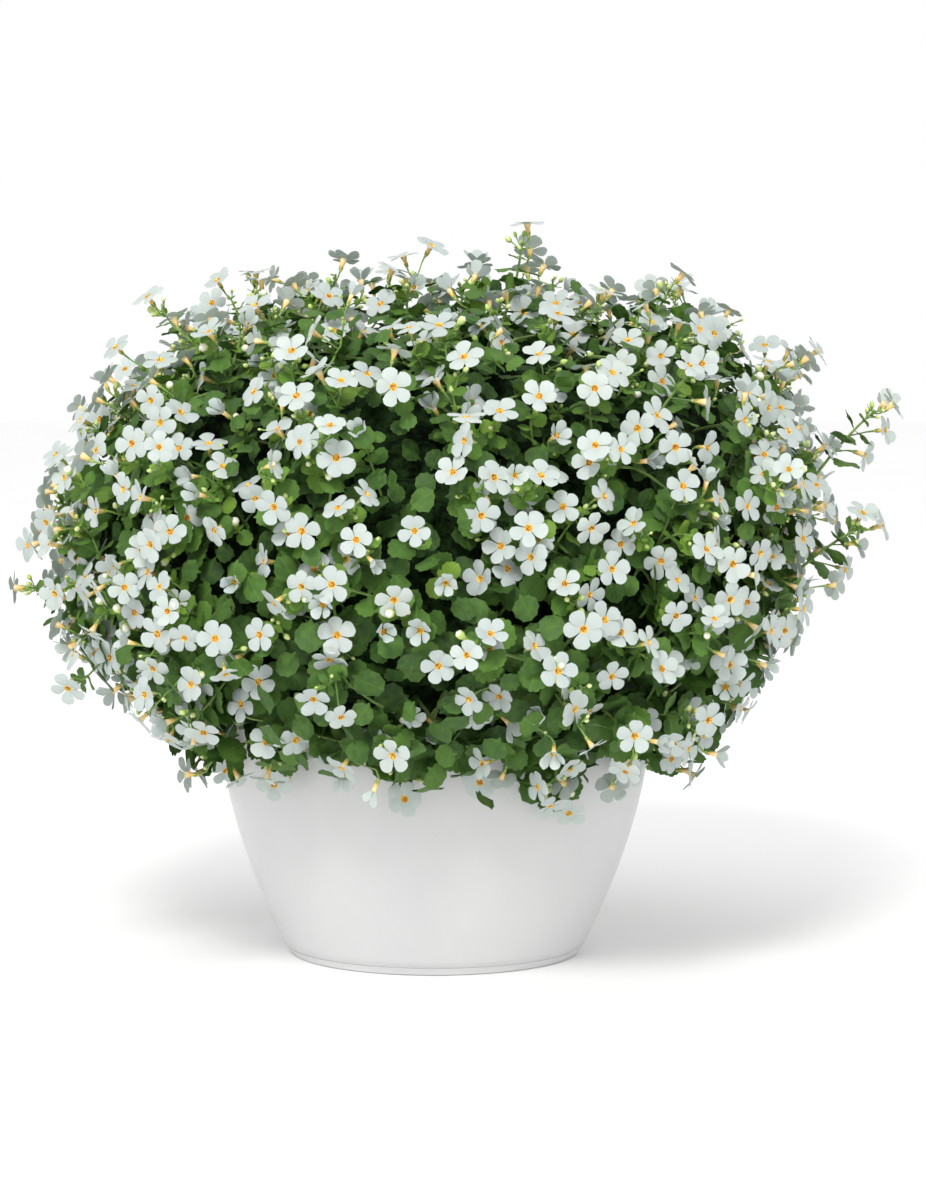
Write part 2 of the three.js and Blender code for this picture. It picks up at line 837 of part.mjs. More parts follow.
function leaf(cell, base, out, along, facing, length) {
  const inwards = middleBeside(base, cell).sub(base).normalize();
  const corners = clearCorners(cell, (blend) => {
    const pointing = out.clone().multiplyScalar(1 - blend).addScaledVector(along, leafForward)
      .addScaledVector(inwards, blend).normalize();
    return leafCorners(base, pointing, facing, length);
  });
  return corners ? [bladeFrom(corners, green)] : [];
}

function bloom(cell, root, centre, facing, twist) {
  const corners = clearCorners(cell, (blend) => {
    const kept = keptInCell(centre, cell, blend * bloomKeep);
    return bloomCorners(kept, facing, root, twist);
  });
  return corners ? [bloomFrom(corners)] : [];
}

function leafLength(place, draw) {
  const low = THREE.MathUtils.smoothstep(leafSmallAbove - place.z, 0, leafGrowth);
  return THREE.MathUtils.lerp(smallLeaf, largeLeaf, low) * (1 + leafVariety * (draw() - 0.5));
}

function bloomFacing(tip) {
  const tilt = new THREE.Vector3(tip.draw() - 0.5, tip.draw() - 0.5, tip.draw() - 0.5);
  const outwards = new THREE.Vector3(tip.face.x, tip.face.y, 0);
  return tip.face.clone()
    .addScaledVector(outwards, bloomOut)
    .addScaledVector(up, bloomLift)
    .addScaledVector(tilt, bloomTilt)
    .normalize();
}

// The facet of a branch's heart nearest to a place, as a root for what grows there.
function rootNear(place, heart) {
  let nearest = null;
  for (const [a, b, c] of heart.facets) {
    const middle = a.clone().add(b).add(c).divideScalar(3);
    const distance = middle.distanceTo(place);
    if (nearest && distance >= nearest.distance) continue;
    const normal = b.clone().sub(a).cross(c.clone().sub(a)).normalize();
    nearest = { distance, middle, normal };
  }
  return nearest.middle.addScaledVector(nearest.normal, -rootDepth);
}

// The end of a short side shoot among its neighbours: its bloom, and a leaf beside it.
function tuft(cell, tip, heart) {
  const facing = bloomFacing(tip);
  const twist = 360 * tip.draw();
  const centre = tip.place;
  const out = tip.face.clone().cross(nearUp).normalize().applyAxisAngle(tip.face, 2 * Math.PI * tip.draw());
  const beneath = centre.clone().addScaledVector(tip.face, -coreDepth);
  const root = rootNear(beneath, heart);
  const base = rootNear(beneath.addScaledVector(out, leafAside), heart);
  const rise = tip.face.clone().multiplyScalar(leafRise);
  const leafFacing = tip.face.clone().addScaledVector(out, -leafTilt).addScaledVector(up, leafLift);
  return [
    ...bloom(cell, root, centre, facing, twist),
    ...leaf(cell, base, out, rise, leafFacing, leafLength(centre, tip.draw)),
  ];
}

// A long spray: a bare stem out of the heart of its branch, with pairs of leaves and two blooms.
function spray(cell, tip) {
  const hub = hubOf(cell);
  const top = tip.place.clone().addScaledVector(tip.face, -bloomStalk);
  const end = keptOffPot(keptInCell(top, cell, tipGap), shootPotGap);
  const arch = tip.face.clone().add(up).multiplyScalar(strayArch);
  const arched = hub.clone().lerp(end, strayBend).add(arch);
  const joint = keptOffPot(keptInCell(arched, cell, tipGap), shootPotGap);
  const along = end.clone().sub(joint).normalize();
  const side = along.clone().cross(tip.face.clone().addScaledVector(up, bloomLift)).normalize();
  const route = [hub, joint, end];
  const pieces = [rod(route, route.map(() => shootRadius), shootSides, side)];
  for (const [share, way, turn] of strayLeaves) {
    const node = joint.clone().lerp(end, share);
    const out = side.clone().applyAxisAngle(along, radians(turn)).multiplyScalar(way);
    const facing = tip.face.clone().addScaledVector(up, leafLift).addScaledVector(along, leafForward);
    pieces.push(...leaf(cell, node, out, along, facing, leafLength(node, tip.draw)));
  }
  for (const [share, turn, aside] of strayBlooms) {
    const node = joint.clone().lerp(end, share);
    const facing = bloomFacing(tip);
    const out = side.clone().applyAxisAngle(along, radians(turn));
    const stalk = facing.clone().addScaledVector(out, aside).normalize();
    const centre = node.clone().addScaledVector(stalk, bloomStalk);
    pieces.push(...bloom(cell, node, centre, facing, 360 * tip.draw()));
  }
  return pieces;
}

const outline = walkedOutline();
const allSwells = [...swells, ...evenLumps()];
const branches = cellsOfBranches();
const tips = straySprays.map((place, number) => strayTip(new THREE.Vector3(...place), number));
for (let number = 0; number < shootCount; number += 1) tips.push(evenTip(number));

const object = new THREE.Group();
object.add(meshFrom("pot", pot(), new THREE.MeshStandardMaterial({ color: "#dfe1e3", roughness: 0.45 })));
object.add(meshFrom("soil", soil(), new THREE.MeshStandardMaterial({ color: "#3a2a1e", roughness: 1 })));
const foliage = new THREE.MeshStandardMaterial({ vertexColors: true, roughness: 0.6, flatShading: true });
for (const cell of branches) {
  const heart = core(cell);
  const pieces = tips
    .filter((tip) => cellAt(tip.place) === cell)
    .flatMap((tip) => (tip.stray ? spray(cell, tip) : tuft(cell, tip, heart)));
  const branch = fused(joined(solidOf(stem(cell)), solidOf(heart)), pieces);
  object.add(meshFrom(cell.name, branch, foliage));
}

export default object;
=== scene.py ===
"""A potted bacopa: a pale tapered pot, and a mound of leafy flowering shoots that hangs over its rim.

The mound, its branches and the tips of its shoots follow the same rules and sizes as the solids.
Sizes are millimetres, turned into Blender's metres where a mesh is made.
"""

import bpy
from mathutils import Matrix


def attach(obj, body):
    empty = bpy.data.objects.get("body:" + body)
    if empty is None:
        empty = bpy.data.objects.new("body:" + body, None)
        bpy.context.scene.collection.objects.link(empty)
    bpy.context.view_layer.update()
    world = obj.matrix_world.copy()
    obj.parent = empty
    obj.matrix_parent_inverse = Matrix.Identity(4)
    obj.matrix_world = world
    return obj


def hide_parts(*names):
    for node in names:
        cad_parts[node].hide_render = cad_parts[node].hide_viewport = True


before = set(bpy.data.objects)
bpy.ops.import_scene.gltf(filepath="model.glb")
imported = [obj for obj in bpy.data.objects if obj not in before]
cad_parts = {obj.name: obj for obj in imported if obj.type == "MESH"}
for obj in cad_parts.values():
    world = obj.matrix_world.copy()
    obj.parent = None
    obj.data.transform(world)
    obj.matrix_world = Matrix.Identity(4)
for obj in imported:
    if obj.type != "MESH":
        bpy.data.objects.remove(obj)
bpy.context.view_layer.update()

import math

import bpy
import numpy as np
from mathutils import Vector

MM = 0.001
UP = np.array([0.0, 0.0, 1.0])
NEAR_UP = np.array([0.3, 0.2, 1.0])
HASH = 0xFFFFFFFF
SHARP_FROM = 62  # degrees between two faces from which their edge is sharp

# Pot
POT_SIDES = 112
POT_WALL = 2.4
POT_FLOOR = 3
FOOT_RADIUS = 80
FOOT_BEVEL = 1.2
FOOT_LINE = 4.2  # height of the fine groove over the foot
LINE_DEPTH = 0.7
RIM_RADIUS = 120
POT_HEIGHT = 138
LIP_DEPTH = 8
LIP_REACH = 2.2
LIP_ROUND = 1.4
POT_FLARE = 1.8

# Soil
SOIL_TOP = 122
SOIL_CROWN = 2
SOIL_GAP = 1.0
SOIL_BOTTOM = POT_FLOOR + 0.6
SOIL_RINGS = 26
SOIL_SIDES = 72
SOIL_LUMPS = [  # radians a millimetre, height, phase
    (0.11, 0.5, 0.4),
    (0.31, 0.35, 1.9),
    (0.73, 0.25, 3.1),
    (1.6, 0.16, 5.2),
]
SOIL_SEED = 11
CRUMBS = 260

# Mound
MOUND_HEART = 215
MOUND_HALF_WIDTH = 232
MOUND_RISE = 163
MOUND_DROP = 130
MOUND_SQUARENESS = 2.6
SKIRT_END = 149
OUTLINE_STEPS = 120
SWELLS = [  # degrees round, degrees down from the top, spread, share
    (180, 122, 25, -0.15),
    (180, 72, 34, -0.055),
    (0, 110, 24, -0.17),
    (-90, 128, 26, 0.04),
    (5, 62, 24, 0.02),
    (5, 20, 18, 0.035),
    (100, 60, 30, 0.03),
]
LUMPS = 26
LUMP_SPREAD = 10
LUMP_SHARE = 0.075
LUMP_SEED = 300

# Branches, in rings of cells seen from the root point
ROOT_POINT = np.array([0.0, 0.0, 40.0])
BRANCH_RINGS = [
    {"name": "crown_branch", "count": 1, "from": 0, "stem_at": 0, "hub_off": 0, "reach": 215},
    {"name": "upper_branch", "count": 5, "from": 10, "stem_at": 26, "hub_off": 18, "reach": 215},
    {"name": "middle_branch", "count": 8, "from": 25, "stem_at": 57, "hub_off": 34, "reach": 215},
    {"name": "skirt_branch", "count": 12, "from": 43, "stem_at": 92, "hub_off": 55, "reach": 187},
]
STEM_DEPTH = 13
STEM_OVER_RIM = (104, 152)
STEM_SEED = 5

# Radii of the stems: of a branch's own, and of the rest from foot to tip
MAIN_STEM = 2.3
SHOOT_STEM = (1.15, 0.6)
SIDE_STEM = (0.85, 0.5)
STRAY_STEM = (1.5, 0.65)
CURTAIN_STEM = (1.0, 0.65)
GAP_STEM = (0.85, 0.55)

# Shoots: the first 64 of the main ones stand where the solids have theirs
SHOOTS = 95
AXIL_BLOOMS = 2  # tried beside the tip of each shoot
TIP_UNEVENNESS = 12
TIP_UNEVEN_SHARE = 0.35
SPREAD_START = 0.5
SPREAD_ROUND = 0.7548776662466927
SPREAD_DOWN = 0.5698402909980532
SHOOT_SEED = 5000
STRAY_SEED = 9000
CURTAIN_SEED = 9500
BLOOM_TILT = 1.0
BLOOM_OUT = 0.35
BLOOM_LIFT = 0.15
STRAY_SPRAYS = [
    (50, -30, 401),
    (-154, -40, 362),
    (134, -40, 374),
    (211, 10, 331),
    (250, -15, 303),
    (243, -30, 238),
    (-229, -25, 203),
    (-121, -62, 124),
    (-84, -104, 106),
    (-15, -134, 103),
    (71, -113, 92),
    (138, -62, 108),
    (20, 140, 108),
    (24, -138, 112),
    (-52, -128, 120),
    (106, -92, 112),
    (163, 42, 124),
    (-158, 38, 132),
    (-88, 112, 114),
    (98, 112, 102),
]
STRAY_BLOOMS = (6, 15, 28)  # how far back from the tip the other blooms of a spray stand
CURTAIN = 22  # smaller sprays that hang round the pot's rim
CURTAIN_BLOOMS = 3  # one of so many ends in a bloom
CURTAIN_RADIUS = (131, 150)
CURTAIN_HEIGHT = (98, 132)
HANGS_UNDER = POT_HEIGHT + 10  # a spray whose tip is lower hangs past the pot
POT_KEEP = 6  # from the pot's lip to a stem that hangs past it
BLOOM_OFF_POT = 10
LEAF_OFF_POT = 4
SIDE_SHOOTS = (4, 7)  # on each main shoot, fewer than the second number
SIDE_REACH = (13, 52)
SIDE_DEPTH = (-5, 26)

# Leaves: how far from the tip of a shoot each pair stands, and its length
LEAF_PAIRS = [(1.5, 4), (4.5, 6.5), (9, 10), (16, 13.5), (25, 15.5), (36, 16.5)]
SIDE_PAIRS = LEAF_PAIRS[:5]
GAP_PAIRS = LEAF_PAIRS[:4]
STRAY_PAIRS = [*LEAF_PAIRS, (64, 15), (80, 14)]
CURTAIN_PAIRS = [(2, 11), (8, 14), (15, 16), (23, 17), (32, 17), (42, 16), (54, 16)]
LEAF_VARIETY = 0.35
TOP_LEAF = 0.85
SKIRT_LEAF = 1.15
LEAF_SMALL_ABOVE = 340
LEAF_GROWTH = 180
FINE_LEAF = 16  # the length from which a leaf has the finer form
SMALL_LEAF = 12
YOUNG_LEAF = 7.5  # the length up to which a leaf has the narrow form of a young one
INNER_LEAVES = 2300
INNER_DEPTH = (13, 47)
INNER_OFF_POT = 12
INNER_SIZE = (10, 16)
INNER_SEED = 77
CORE_DEPTH = 52
CORE_FLOOR = POT_HEIGHT + 8
CORE_RINGS = 30
CORE_SIDES = 60
CORE_SEED = 31

# Blooms
BLOOM_RADIUS = 10
PETALS = 5
PETAL_FOOT = 1.6  # from the middle of the throat
PETAL_ROWS = [(0, 1.15), (0.36, 3.2), (0.72, 4.05), (1, 2.85)]  # share of the length, half the width
PETAL_COLUMNS = 5
BLOOM_OPENNESS = (1, 0.93, 1.07, 0.84, 0.98, 1.02)
TUBE_LENGTH = 8.2
STALK_REACH = (14, 21)  # from a stem to the mouth of a bloom beside it
BLOOM_SPACING = 12.5
GAP_SPOTS = 900  # places tried for a bloom that fills a gap
GAP_WIDTH = 17  # from the next bloom
GAP_SEED = 700
BLOOM_TRIES = 5
CROWN_FACES = 0.72  # the mound's upward share of facing from which blooms stand wider
RIM_BLOOMS = 34  # and the height over the rim up to which they do


def draws_from(seed, count):
    """The first numbers from 0 to 1 that the solids' seeded draw gives."""
    state = seed & HASH
    numbers = []
    for _ in range(count):
        state = (state + 0x6D2B79F5) & HASH
        mixed = ((state ^ (state >> 15)) * (state | 1)) & HASH
        mixed ^= (mixed + (((mixed ^ (mixed >> 7)) * (mixed | 61)) & HASH)) & HASH
        numbers.append(((mixed ^ (mixed >> 14)) & HASH) / 2**32)
    return numbers


def unit(vector):
    return vector / np.linalg.norm(vector)


def smoothstep(value):
    value = np.clip(value, 0, 1)
    return value * value * (3 - 2 * value)


# The mound


def outline_of(down):
    bend = 2 / MOUND_SQUARENESS
    sine, cosine = math.sin(math.radians(down)), math.cos(math.radians(down))
    reach = MOUND_RISE if cosine > 0 else MOUND_DROP
    rise = math.copysign(reach * abs(cosine) ** bend, cosine)
    return MOUND_HALF_WIDTH * abs(sine) ** bend, MOUND_HEART + rise


def direction_to(around, down):
    a, d = math.radians(around), math.radians(down)
    return np.array([math.sin(d) * math.cos(a), math.sin(d) * math.sin(a), math.cos(d)])


def mound_normal(around, down):
    radius, height = outline_of(down)
    rise = height - MOUND_HEART
    reach = MOUND_RISE if rise > 0 else MOUND_DROP
    power = MOUND_SQUARENESS - 1
    outwards = (radius / MOUND_HALF_WIDTH) ** power / MOUND_HALF_WIDTH
    upwards = math.copysign(abs(rise / reach) ** power / reach, rise)
    a = math.radians(around)
    return unit(np.array([outwards * math.cos(a), outwards * math.sin(a), upwards]))


def spread_place(number, start=0.0):
    """Degrees round and down of one of the places that lie evenly spread over the mound."""
    around = 360 * ((start + number * SPREAD_ROUND) % 1)
    return around, down_at_share((start + number * SPREAD_DOWN) % 1)


def seeded_lumps():
    """Small swells and hollows of the mound, spread evenly over it."""
    lumps = []
    for i in range(LUMPS):
        share = LUMP_SHARE * (draws_from(LUMP_SEED + i, 1)[0] - 0.5)
        lumps.append((*spread_place(i), LUMP_SPREAD, share))
    return lumps


def mound_point(around, down, under):
    """The place so far under the mound's surface, at degrees round and down from the top."""
    radius, height = outline_of(down)
    a = math.radians(around)
    place = np.array([radius * math.cos(a), radius * math.sin(a), height - MOUND_HEART])
    direction = unit(place)
    grown = 1.0
    for swell_round, swell_down, spread, share in ALL_SWELLS:
        cosine = float(np.clip(direction @ direction_to(swell_round, swell_down), -1, 1))
        grown += share * math.exp(-((math.acos(cosine) / math.radians(spread)) ** 2) / 2)
    place = place * grown - mound_normal(around, down) * under
    return place + np.array([0, 0, MOUND_HEART])


def areas_down():
    """Degrees down the outline, and the share of the mound's surface that lies above each."""
    downs = np.linspace(0, SKIRT_END, OUTLINE_STEPS + 1)
    edge = np.array([outline_of(down) for down in downs])
    lengths = np.hypot(*np.diff(edge, axis=0).T)
    areas = np.concatenate([[0], np.cumsum(lengths * (edge[1:, 0] + edge[:-1, 0]) / 2)])
    return downs, areas / areas[-1]


DOWNS, AREAS = areas_down()


def down_at_share(share):
    return float(np.interp(share, AREAS, DOWNS))


ALL_SWELLS = [*SWELLS, *seeded_lumps()]


# Branches


def branch_cells():
    cells = []
    for ring_number, ring in enumerate(BRANCH_RINGS):
        shift = 0 if ring_number % 2 else 0.5
        for i in range(ring["count"]):
            name = f"{ring['name']}_{i + 1:02d}" if ring["count"] > 1 else ring["name"]
            cells.append({"name": name, "ring": ring, "round": -90 + 360 / ring["count"] * (i + shift)})
    return cells


CELLS = branch_cells()
# The blooms of a few neighbouring branches make one piece.
BLOOM_GROUPS = {"crown_blooms": range(0, 1), "upper_blooms": range(1, 6)}
BLOOM_GROUPS |= {f"middle_blooms_{i + 1}": range(6 + 4 * i, 10 + 4 * i) for i in range(2)}
BLOOM_GROUPS |= {f"skirt_blooms_{i + 1}": range(14 + 3 * i, 17 + 3 * i) for i in range(4)}


def cell_at(place):
    offset = place - ROOT_POINT
    off = math.degrees(math.atan2(math.hypot(offset[0], offset[1]), offset[2]))
    around = math.degrees(math.atan2(offset[1], offset[0]))
    ring = [ring for ring in BRANCH_RINGS if off >= ring["from"]][-1]
    cells = [i for i, cell in enumerate(CELLS) if cell["ring"] is ring]
    return min(cells, key=lambda i: abs((around - CELLS[i]["round"] + 180) % 360 - 180))


def hub_of(cell):
    ring = cell["ring"]
    return ROOT_POINT + ring["reach"] * direction_to(cell["round"], ring["hub_off"])


def off_pot(place, gap=POT_KEEP):
    least = RIM_RADIUS + LIP_REACH + gap
    radius = math.hypot(place[0], place[1])
    if place[2] > POT_HEIGHT + gap or radius >= least:
        return place
    return np.array([place[0] * least / radius, place[1] * least / radius, place[2]])


# Small forms


def form(corners, triangles, material, spots):
    """A form: its corners and triangles, the material of each triangle, and a spot for each corner.

    A spot says how far across and how far along it lies, and whether it is on the underside.
    """
    corners, triangles = np.array(corners, float), np.array(triangles, int)
    return {
        "corners": corners,
        "triangles": triangles,
        "materials": np.full(len(triangles), material, int),
        "spots": np.array(spots, float),
    }


def forms_together(forms):
    whole = {key: np.concatenate([one[key] for one in forms]) for key in forms[0]}
    starts = np.cumsum([0] + [len(one["corners"]) for one in forms[:-1]])
    whole["triangles"] += np.repeat(starts, [len(one["triangles"]) for one in forms])[:, None]
    return whole


def sheet_form(top, material, spots):
    """A thin closed sheet from rows x columns x 3 of corners.

    Its underside shares the sheet's edge, and runs straight across from side to side.
    """
    rows, columns = top.shape[:2]
    index = np.arange(rows * columns).reshape(rows, columns)
    triangles = []
    for r in range(rows - 1):
        for c in range(columns - 1):
            a, b, d, e = *index[r, c : c + 2], *index[r + 1, c : c + 2]
            triangles += [[a, d, e], [a, e, b]]
    for r in range(rows - 1):
        a, b, d, e = *index[r, [0, -1]], *index[r + 1, [0, -1]]
        if r == 0:
            triangles += [[near, far, d] for near, far in zip(index[0], index[0, 1:])]
            triangles.append([b, e, d])
        elif r == rows - 2:
            triangles.append([b, d, a])
            triangles += [[b, far, near] for near, far in zip(index[-1], index[-1, 1:])]
        else:
            triangles += [[a, b, e], [a, e, d]]
    return form(top.reshape(-1, 3), triangles, material, spots.reshape(-1, 3))


def closed_rings(sides, rings):
    """Triangles of a closed form: a first corner, rings of corners below it, and a last corner."""
    triangles = []
    last = 1 + rings * sides
    for k in range(sides):
        after = (k + 1) % sides
        triangles.append([0, 1 + k, 1 + after])
        for r in range(rings - 1):
            a, b = 1 + r * sides + k, 1 + r * sides + after
            triangles += [[a, a + sides, b + sides], [a, b + sides, b]]
        triangles.append([last, last - sides + after, last - sides + k])
    return triangles


def turned_form(rings, sides, material, along, squash=1.0):
    """A closed form turned about Z from (radius, height) rings, the first and last on the axis."""
    corners = [[0, 0, rings[0][1]]]
    spots = [[0, along[0], 0]]
    for (radius, height), share in zip(rings[1:-1], along[1:-1]):
        for k in range(sides):
            angle = 2 * math.pi * k / sides
            corners.append([radius * math.cos(angle), radius * math.sin(angle) * squash, height])
            spots.append([k / sides, share, 0])
    corners.append([0, 0, rings[-1][1]])
    spots.append([0, along[-1], 0])
    triangles = [[a, c, b] for a, b, c in closed_rings(sides, len(rings) - 2)]
    return form(corners, triangles, material, spots)


def moved(one, turn=None, shift=(0, 0, 0), scale=1.0):
    """A copy of a form, turned by a matrix, scaled and shifted."""
    corners = one["corners"] * scale
    if turn is not None:
        corners = corners @ np.array(turn).T
    return {**one, "corners": corners + np.array(shift)}


def turn_about_z(degrees):
    a = math.radians(degrees)
    return np.array([[math.cos(a), -math.sin(a), 0], [math.sin(a), math.cos(a), 0], [0, 0, 1]])


LEAF, STEM, BUD, PETAL, THROAT, ANTHER = range(6)
STALK_SHARE = 0.1
LEAF_SECTORS = 6
LEAF_FOLD = 0.16
LEAF_DROOP = 0.16
BLUNT_TOOTH = [(0, 0.9), (0.28, 0.99), (0.72, 1.0)]
PLAIN_TOOTH = [(0, 0.93), (0.5, 1.01)]


def ring_triangles(outer, inner):
    """Triangles between two rings, each a list of (angle, index) in rising order of angle."""
    triangles = []
    i = j = 0
    while i < len(outer) or j < len(inner):
        a, b = outer[i % len(outer)][1], inner[j % len(inner)][1]
        outer_next = outer[i + 1][0] if i + 1 < len(outer) else 2 * math.pi + outer[0][0]
        inner_next = inner[j + 1][0] if j + 1 < len(inner) else 2 * math.pi + inner[0][0]
        if j >= len(inner) or (i < len(outer) and outer_next <= inner_next):
            triangles.append([a, outer[(i + 1) % len(outer)][1], b])
            i += 1
        else:
            triangles.append([a, inner[(j + 1) % len(inner)][1], b])
            j += 1
    return triangles


def leaf_form(teeth, tooth, seed, width=1.0, dome=0.5):
    """A leaf along +X with its face up +Z, one unit long: a short stalk and a round toothed blade.

    tooth lists the corners of one tooth: how far along it, and how far out of the blade's outline.
    """
    rng = np.random.default_rng(seed)
    fold = LEAF_FOLD * rng.uniform(0.4, 1.4)
    droop = LEAF_DROOP * rng.uniform(-0.2, 1.9)
    lean = rng.uniform(-0.05, 0.05)
    middle, reach = (1 + STALK_SHARE) / 2, (1 - STALK_SHARE) / 2

    def blade(angle, share):
        x = middle + share * reach * math.cos(angle)
        y = share * reach * 1.06 * width * math.sin(angle) * (1 - 0.13 * math.cos(angle))
        lift = fold * abs(y) - dome * y * y - droop * x * x
        ripple = 0.045 * share * math.sin(3 * angle + 2.1 * seed)
        return x, y + lean * x * x, lift + ripple

    corners = [(middle, lean * middle**2, -droop * middle**2)]
    inner = [(angle, k + 1) for k, angle in enumerate(np.linspace(-math.pi, math.pi, LEAF_SECTORS + 1)[:-1])]
    corners += [blade(angle, 0.55) for angle, _ in inner]
    gap = math.pi / (2 * teeth)
    edge = [(gap * 0.5 - math.pi, (0, -0.02, 0))]
    for i in range(teeth):
        start = gap - math.pi + i * (2 * math.pi - 2 * gap) / teeth
        for along, out in tooth:
            angle = start + along * (2 * math.pi - 2 * gap) / teeth
            edge.append((angle, blade(angle, out * rng.uniform(0.98, 1.02))))
    edge.append((math.pi - gap, blade(math.pi - gap, tooth[0][1])))
    edge.append((math.pi - gap * 0.5, (0, 0.02, 0)))
    outer = [(angle, len(corners) + k) for k, (angle, _) in enumerate(edge)]
    corners += [place for _, place in edge]
    triangles = [[0, inner[k][1], inner[(k + 1) % len(inner)][1]] for k in range(len(inner))]
    triangles += ring_triangles(outer, inner)
    under = len(corners)
    corners.append((middle, lean * middle**2, -droop * middle**2 - 0.05))
    triangles += [[under, after, before] for (_, before), (_, after) in zip(outer, outer[1:] + outer[:1])]
    spots = [(y / 0.5, x, float(i == under)) for i, (x, y, z) in enumerate(corners)]
    return form(corners, triangles, LEAF, spots)


def petal_form(openness, seed):
    """A petal along +X from the throat: broad and round-ended, in a bloom that faces +Z."""
    rng = np.random.default_rng(seed)
    across = np.linspace(-1, 1, PETAL_COLUMNS)
    length = (BLOOM_RADIUS - PETAL_FOOT) * rng.uniform(0.93, 1.06)
    wide = rng.uniform(0.92, 1.08) * (0.6 + 0.4 * openness)
    raised = math.radians(90 - 90 * openness + rng.uniform(-10, 12))
    curl = rng.uniform(-1.3, 0.5)
    wave = rng.uniform(-0.7, 0.7)
    tip_notch = rng.uniform(-0.1, 0.4)
    top = np.zeros((len(PETAL_ROWS), PETAL_COLUMNS, 3))
    spots = np.zeros_like(top)
    for r, (v, width) in enumerate(PETAL_ROWS):
        for c, share in enumerate(across):
            run = v * length - 0.9 * share * share * v * v - (tip_notch if v == 1 and c == 2 else 0)
            bend = raised * smoothstep(v * 2.5)
            out = run * math.cos(bend)
            rise = -0.7 + 0.45 * smoothstep(v * 3) + run * math.sin(bend) + curl * v * v
            rise += wave * share * v * smoothstep(v * 2)
            arch = 0.4 * (1 - share * share) * smoothstep(v * 2)
            out_of_mouth = PETAL_FOOT + out - arch * math.sin(bend)
            top[r, c] = (out_of_mouth, share * width * wide, rise + arch * math.cos(bend))
            spots[r, c] = (share, v, 0)
    return sheet_form(top, PETAL, spots)


def bloom_form(openness, seed):
    """A bloom that faces +Z, its mouth at the origin and its tube and calyx behind it."""
    rng = np.random.default_rng(seed)
    parts = []
    for i in range(PETALS):
        petal = petal_form(openness, 10 * seed + i)
        turn = turn_about_z(360 / PETALS * i + rng.uniform(-6, 6))
        parts.append(moved(petal, turn, scale=rng.uniform(0.94, 1.04)))
    wide = 0.6 + 0.4 * openness
    tube = [(0, -TUBE_LENGTH), (0.75, -TUBE_LENGTH), (1.15, -0.55 * TUBE_LENGTH)]
    tube += [(2.15 * wide, -0.95), (1.95 * wide, -0.5), (1.25 * wide, -1.9), (0, -2.8)]
    parts.append(turned_form(tube, 6, THROAT, [0, 0, 0.4, 0.8, 1, 1.3, 1.6]))
    grain = [(0, -0.45), (0.4, 0), (0, 0.45)]
    for x, y in ((0.6, 0.35), (-0.4, -0.55)):
        parts.append(moved(turned_form(grain, 4, ANTHER, [0, 0.5, 1]), shift=(x * wide, y * wide, -0.85)))
    parts.append(calyx_form(-TUBE_LENGTH - 0.4, 4.2, 1.6))
    return forms_together(parts)


def calyx_form(base, length, reach):
    """A green cup of five narrow lobes that clasps what stands in it, from height base upwards."""
    corners = [(0, 0, base - 0.6), (0, 0, base + 1.2)]
    for i in range(10):
        radius, height = (reach, base + length) if i % 2 else (1.05, base + 1)
        angle = math.pi * i / 5
        corners.append((radius * math.cos(angle), radius * math.sin(angle), height))
    triangles = []
    for i in range(10):
        a, b = 2 + i, 2 + (i + 1) % 10
        triangles += [[0, b, a], [1, a, b]]
    return form(corners, triangles, STEM, [[0, 0.8, 0]] * len(corners))


def bud_form():
    """A round closed bud, its base at the origin, one unit to a millimetre."""
    rings = [(0, 0), (1.15, 0.8), (1.6, 2.3), (1.05, 3.9), (0, 4.8)]
    return turned_form(rings, 6, BUD, [0, 0.1, 0.5, 0.8, 1])


def large_bud_form():
    """A bud about to open, on its tube, in its calyx."""
    rings = [(0, 0), (0.8, 0.1), (1.2, 3.2), (2.3, 5.2), (2.1, 7.4), (0, 8.6)]
    bud = turned_form(rings, 7, BUD, [0.1, 0.1, 0.3, 0.7, 1.2, 1.5])
    return forms_together([bud, calyx_form(-0.3, 4, 1.8)])


FORMS = {f"large_leaf_{i}": leaf_form(11, BLUNT_TOOTH, i) for i in range(3)}
FORMS |= {f"leaf_{i}": leaf_form(9, BLUNT_TOOTH, 10 + i) for i in range(4)}
FORMS |= {f"small_leaf_{i}": leaf_form(9, PLAIN_TOOTH, 20 + i) for i in range(3)}
FORMS |= {f"young_leaf_{i}": leaf_form(5, PLAIN_TOOTH, 30 + i, width=0.6, dome=0.2) for i in range(2)}
FORMS |= {f"inner_leaf_{i}": leaf_form(9, PLAIN_TOOTH, 35 + i) for i in range(4)}
FORMS |= {f"bloom_{i}": bloom_form(openness, 40 + i) for i, openness in enumerate(BLOOM_OPENNESS)}
FORMS |= {"half_bloom_0": bloom_form(0.5, 50), "half_bloom_1": bloom_form(0.24, 51)}
FORMS |= {"bud": bud_form(), "large_bud": large_bud_form()}
OPEN_BLOOMS = [name for name in FORMS if name.startswith("bloom")]


# What grows: copies of the forms and tubes, kept for each branch


